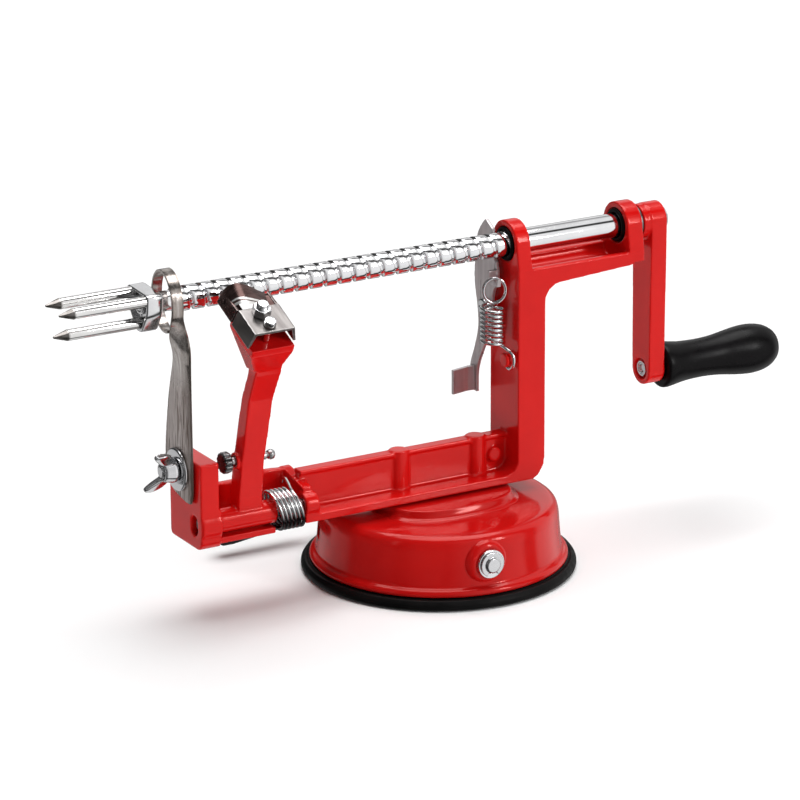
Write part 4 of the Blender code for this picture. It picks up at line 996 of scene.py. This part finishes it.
def make_holder_fixings():
    place = on_holder_frame(BOLT_SPOT)
    turned_part("blade_bolt", "head", "bright", place, ((-12.0, 0.0), (-12.0, 1.5), (0.3, 1.5),
        (0.3, 3.3), (0.5, 3.4), (2.7, 3.4), (3.2, 2.9), (3.2, 0.0)), 0.12, 96, six_sided(2.95, 0.3),
        25.0)
    stem = turned("blade_bolt_stem", place,
        [(3.0, 0.0), (3.0, 2.0), *thread_rings(3.1, 4.5, 1.95, 2.2, 0.45), (4.6, 2.0), (4.8, 1.7),
        (4.8, 0.0)], 60, crease=25.0)
    extra(stem, "plated", "blade_bolt")
    screw = turned("depth_screw_head", on_holder_frame(DEPTH_SPOT),
        eased(((-6.4, 0.0), (-6.4, 1.2), (0.3, 1.2), (0.3, 2.2), (2.1, 2.2), (2.4, 1.9),
        (2.4, 0.0)), 0.2), 60)
    rings = []
    for lift in (1.5, 4.0):
        rings.append([on_holder(DEPTH_SPOT[0] + across, DEPTH_SPOT[1] + forward, lift)
            for across, forward in ((-4.0, -0.4), (4.0, -0.4), (4.0, 0.4), (-4.0, 0.4))])
    subtract(screw, loft("driver_slot", rings))
    stand_in(screw, "bright", "depth_screw")


def make_arm_pivot():
    turned_part("pivot_rod", "turned", "inner_steel", placed("X", PIVOT),
        ((-101.0, 0.0), (-101.0, 1.6), (-100.6, 2.0), (-55.3, 2.0), (-55.0, 1.7), (-55.0, 0.0)),
        0.2, 60)
    lead = spline(((-75.6, -2.0, 51.0), (-74.4, -0.4, 46.0), (-73.2, 0.4, 41.0)), 6)
    per_turn = 32
    steps = int(5.75 * per_turn)
    coil = []
    for step in range(steps + 1):
        angle = radians(20.0) - TAU * step / per_turn
        x = -72.0 + 9.2 * step / steps - 2.1 * sin(angle)
        coil.append(Vector((x, PIVOT[0] + 7.0 * cos(angle), PIVOT[1] + 7.0 * sin(angle))))
    tail = spline((coil[-1], (-60.6, 4.4, 42.6), (-60.6, 6.6, 40.0)), 5)[1:]
    # The torsion spring's lower turns carry painted shade.
    stand_in(wire("torsion_spring_coil", [*lead, *coil, *tail], 0.65), "shade_painted_wire", "torsion_spring")


def make_latch():
    centre = (-8.5, 57.4)
    turned_part("latch_pin", "turned", "inner_steel", placed("X", centre),
        ((-90.0, 0.0), (-90.0, 1.5), (-75.2, 1.5), (-74.9, 1.0), (-74.6, 0.9), (-74.2, 1.5),
        (-73.2, 1.9), (-72.2, 1.7), (-71.6, 1.0), (-71.4, 0.0)), 0.2, 48)
    turned_part("latch_knob", "knurled", "dark_steel", placed("X", centre),
        ((-92.7, 0.0), (-92.7, 3.3), (-92.2, 3.9), (-90.0, 3.9), (-89.4, 3.4), (-89.3, 1.9),
        (-90.7, 1.8), (-90.7, 0.0)), 0.25, 144, ridged(12, 0.15), 30.0)


# ---------------------------------------------------------------- slicing and coring knife

def knife_stations():
    """Places along the knife: middle, half its width as a vector and half its thickness as a vector."""
    stations = []
    for height, middle, width in ((43.6, -5.0, 3.0), (44.4, -2.6, 9.6), (46.0, 0.6, 17.2),
            (49.0, 1.5, 19.8), (52.0, 1.9, 20.6), (60.0, 1.9, 20.6), (70.0, 1.2, 18.8),
            (80.0, 0.4, 17.0), (88.0, -0.7, 14.8), (94.0, -1.8, 12.2)):
        stations.append((Vector((KNIFE_X, middle, height)), Vector((0, width / 2.0, 0)),
            Vector((-0.5, 0, 0))))
    lean = Vector((0, -0.42, 0.906))
    for share, height, middle, width, x in ((0.12, 98.0, -2.6, 10.2, -104.0),
            (0.35, 102.0, -3.6, 8.4, -105.2), (0.6, 105.4, -5.4, 7.0, -106.6),
            (0.82, 109.0, -7.8, 5.8, -108.1)):
        turn = radians(90.0) * share
        path_way = Vector((0, 0, 1)).lerp(lean, share).normalized()
        flat_way = (Vector((0, 1, 0)) - path_way * path_way.y).normalized()
        width_way = flat_way * cos(turn) + Vector((-1, 0, 0)) * sin(turn)
        stations.append((Vector((x, middle, height)), width_way * (width / 2.0),
            path_way.cross(width_way) * 0.5))
    for step in range(35):
        share = step / 34
        angle = radians(205.0 - 318.0 * share)
        outward = Vector((0, cos(angle), sin(angle)))
        centre = Vector((-108.0 + 1.4 * outward.y, 0.0, SHAFT_Z)) + outward * 10.75
        stations.append((centre, Vector((-2.3 + 0.5 * share, 0, 0)), outward * 0.5))
    return stations


def make_knife():
    lines = [relaxed(spline(line, 5), 24) for line in zip(*knife_stations())]
    section = ((-1.0, -0.10), (-0.97, -0.55), (-0.90, -0.9), (0.0, -1.0), (0.94, -1.0),
        (0.985, -0.8), (1.0, 0.0), (0.985, 0.8), (0.94, 1.0), (0.0, 1.0), (-0.90, 1.0), (-1.0, 0.2))
    rings = []
    for centre, wide, thick in zip(*lines):
        rings.append([centre + wide * across + thick * out for across, out in section])
    knife = loft("slicing_knife_blade", rings, 30.0)
    subtract(knife, turned("stud_hole", placed("X", STUD), ((-110.0, 0.0), (-110.0, 2.7),
        (-95.0, 2.7), (-95.0, 0.0)), 48))
    stand_in(knife, "knife", "slicing_knife")


def make_knife_fixings():
    place = placed("X", STUD)
    stud = turned("knife_stud_threaded", place, [(-111.2, 0.0), (-111.2, 1.8), (-110.9, 2.1),
        *thread_rings(-110.8, -104.4, 2.1, 2.4, 0.8), (-104.2, 2.4), (-97.2, 2.4), (-96.9, 2.1),
        (-96.9, 0.0)], 60, crease=25.0)
    stand_in(stud, "plated", "knife_stud")
    outer = KNIFE_X - KNIFE_THICK / 2.0 - 0.3
    turned_part("knife_washer", "dished", "bright", place, ((outer - 1.1, 2.7), (outer - 1.1, 7.3),
        (outer - 0.7, 7.8), (outer, 7.8), (outer, 2.7)), 0.3, 96)
    seat = outer - 1.4
    body = turned("wing_nut_plated", place,
        eased(((seat - 4.8, 2.7), (seat - 4.8, 3.4), (seat - 4.3, 3.7), (seat - 1.0, 4.5),
        (seat, 4.5), (seat, 2.7)), 0.3, True), 96)
    direction = radians(122.0)
    wings = []
    for sign in (1.0, -1.0):
        way = Vector((cos(direction), sin(direction))) * sign
        across = Vector((-way.y, way.x))
        stations = spline(((2.9, -0.6, -4.4, 1.3), (5.0, -1.0, -7.0, 1.25), (7.0, -2.0, -9.0, 1.15),
            (8.4, -3.4, -9.8, 1.05), (9.4, -5.2, -9.2, 0.9)), 5)
        rings = []
        for reach, low, high, half in stations:
            middle, deep = (low + high) / 2.0, (low - high) / 2.0
            ring = []
            for angle in round_turn(20):
                lean, side = cos(angle), sin(angle)
                x = seat + middle + deep * copysign(abs(lean) ** 0.8, lean)
                thick = half * copysign(abs(side) ** 0.6, side)
                spot = Vector(STUD) + way * reach + across * thick
                ring.append((x, spot.x, spot.y))
            rings.append(ring)
        wings.append(loft("wing", rings))
    nut = softened(merged([body, *wings]), 0.2, 4, 180.0)
    stand_in(nut, "bright", "wing_nut")


# ---------------------------------------------------------------- studio

def soft_panel(name, spot, aim, size, power):
    lamp = bpy.data.lights.new(name, "AREA")
    lamp.shape = "RECTANGLE"
    lamp.size, lamp.size_y = size
    lamp.energy = power
    held = linked(name, lamp)
    held.location = spot
    held.rotation_euler = (Vector(aim) - Vector(spot)).to_track_quat("-Z", "Y").to_euler()


def make_floor():
    grid = 24
    width = 6.0
    points = []
    faces = []
    for row in range(grid + 1):
        for column in range(grid + 1):
            points.append(((column / grid - 0.5) * width / MM, (row / grid - 0.5) * width / MM, 0.0))
    for row in range(grid):
        for column in range(grid):
            corner = row * (grid + 1) + column
            faces.append([corner, corner + 1, corner + grid + 2, corner + grid + 1])
    floor = mesh_piece("studio_floor", points, faces)
    paper = Graph("white_paper")
    paper.colour(paper.ramp(paper.noise(6.0, 3.0), (0.3, grey(0.93)), (0.7, grey(0.96))))
    paper.rough(paper.spread(paper.noise(300.0, 3.0), 0.6, 0.8))
    paper.relief((paper.noise(500.0, 4.0), 0.03, 0.1))
    floor.data.materials.append(paper.material)
    floor.visible_glossy = False


def tone_along(tree, split, axis, stops):
    """Grey tone that changes with one component of the direction looked in."""
    shift = tree.nodes.new("ShaderNodeMapRange")
    tune(shift, From_Min=-1.0)
    tree.links.new(split.outputs[axis], shift.inputs["Value"])
    ramp = tree.nodes.new("ShaderNodeValToRGB")
    tree.links.new(shift.outputs["Result"], ramp.inputs["Fac"])
    elements = ramp.color_ramp.elements
    while len(elements) < len(stops):
        elements.new(0.5)
    for element, (place_on_axis, tone) in zip(elements, stops):
        element.position = (place_on_axis + 1.0) / 2.0
        element.color = (tone, tone, tone, 1.0)
    return ramp.outputs["Color"]


def combined(tree, operation, first, second):
    both = tree.nodes.new("ShaderNodeMath")
    both.operation = operation
    tree.links.new(first, both.inputs[0])
    tree.links.new(second, both.inputs[1])
    return both.outputs["Value"]


def make_world():
    """Surroundings to be mirrored: pale in front, dim to the left, behind and above, with a dark gap.

    A second, smaller patch lies low at the back and to the left.
    """
    world = bpy.data.worlds.new("studio_air")
    bpy.context.scene.world = world
    world.use_nodes = True
    tree = world.node_tree
    place = tree.nodes.new("ShaderNodeTexCoord")
    split = tree.nodes.new("ShaderNodeSeparateXYZ")
    tree.links.new(place.outputs["Generated"], split.inputs["Vector"])
    room = (
        ((-1.0, 0.12), (-0.35, 0.15), (0.1, 0.9), (1.0, 1.0)),
        ((-1.0, 1.0), (-0.56, 1.0), (-0.50, 0.06), (-0.30, 0.06), (-0.24, 0.95), (0.30, 0.9),
            (0.50, 0.40), (1.0, 0.15)),
        ((-1.0, 0.8), (-0.2, 1.0), (0.85, 0.95), (1.0, 0.3)),
    )
    patch = (
        ((-1.0, 0.4), (-0.2, 0.6), (0.0, 0.4), (0.2, 0.0)),
        ((-1.0, 0.0), (0.45, 0.0), (0.6, 1.0), (1.0, 0.9)),
        ((-1.0, 1.0), (-0.15, 1.0), (-0.05, 0.0), (1.0, 0.0)),
    )
    parts = []
    for tones in (room, patch):
        across, along, upward = [tone_along(tree, split, axis, stops)
            for axis, stops in zip("XYZ", tones)]
        parts.append(combined(tree, "MULTIPLY", combined(tree, "MULTIPLY", across, along), upward))
    tree.links.new(combined(tree, "MAXIMUM", *parts), tree.nodes["Background"].inputs["Color"])
    tune(tree.nodes["Background"], Strength=1.0)


def make_camera():
    turn, drop, roll = CAMERA_TURN, CAMERA_DROP, CAMERA_ROLL
    right = Vector((cos(turn), -sin(turn), 0.0))
    ahead = Vector((sin(turn) * cos(drop), cos(turn) * cos(drop), -sin(drop)))
    up = right.cross(ahead)
    rolled_right = right * cos(roll) + up * sin(roll)
    rolled_up = up * cos(roll) - right * sin(roll)
    lens = bpy.data.cameras.new("studio_camera")
    lens.lens = CAMERA_LENS
    lens.sensor_width = 36.0
    lens.clip_end = 20.0
    held = linked("studio_camera", lens)
    axes = Matrix((rolled_right, rolled_up, -ahead)).transposed().to_4x4()
    held.matrix_world = Matrix.Translation(CAMERA_AIM - ahead * CAMERA_DISTANCE) @ axes
    bpy.context.scene.camera = held


def make_studio():
    make_floor()
    make_world()
    make_camera()
    middle = (0.0, 0.0, 0.07)
    soft_panel("key_panel", (0.78, -1.30, 0.72), middle, (0.20, 0.6), 6.5)
    soft_panel("back_card", (0.75, 1.3, 0.65), middle, (1.4, 0.8), 1.9)
    soft_panel("left_strip", (-1.5, -0.5, 0.6), middle, (0.12, 0.9), 0.4)
    sky = bpy.data.lights.new("overhead_cloth", "SUN")
    sky.energy = 2.4
    sky.angle = radians(50.0)
    linked("overhead_cloth", sky).rotation_euler = (radians(-8.0), radians(6.0), 0.0)
    bpy.context.scene.view_settings.view_transform = "Standard"
    bpy.context.scene.view_settings.look = "None"


for make in (make_pad, make_shell, make_suction_drive, make_frame, make_screw, make_fork,
        make_crank, make_grip, make_buckle, make_buckle_spring, make_arm, make_blade,
        make_holder_fixings, make_arm_pivot, make_latch, make_knife, make_knife_fixings):
    make()
make_studio()
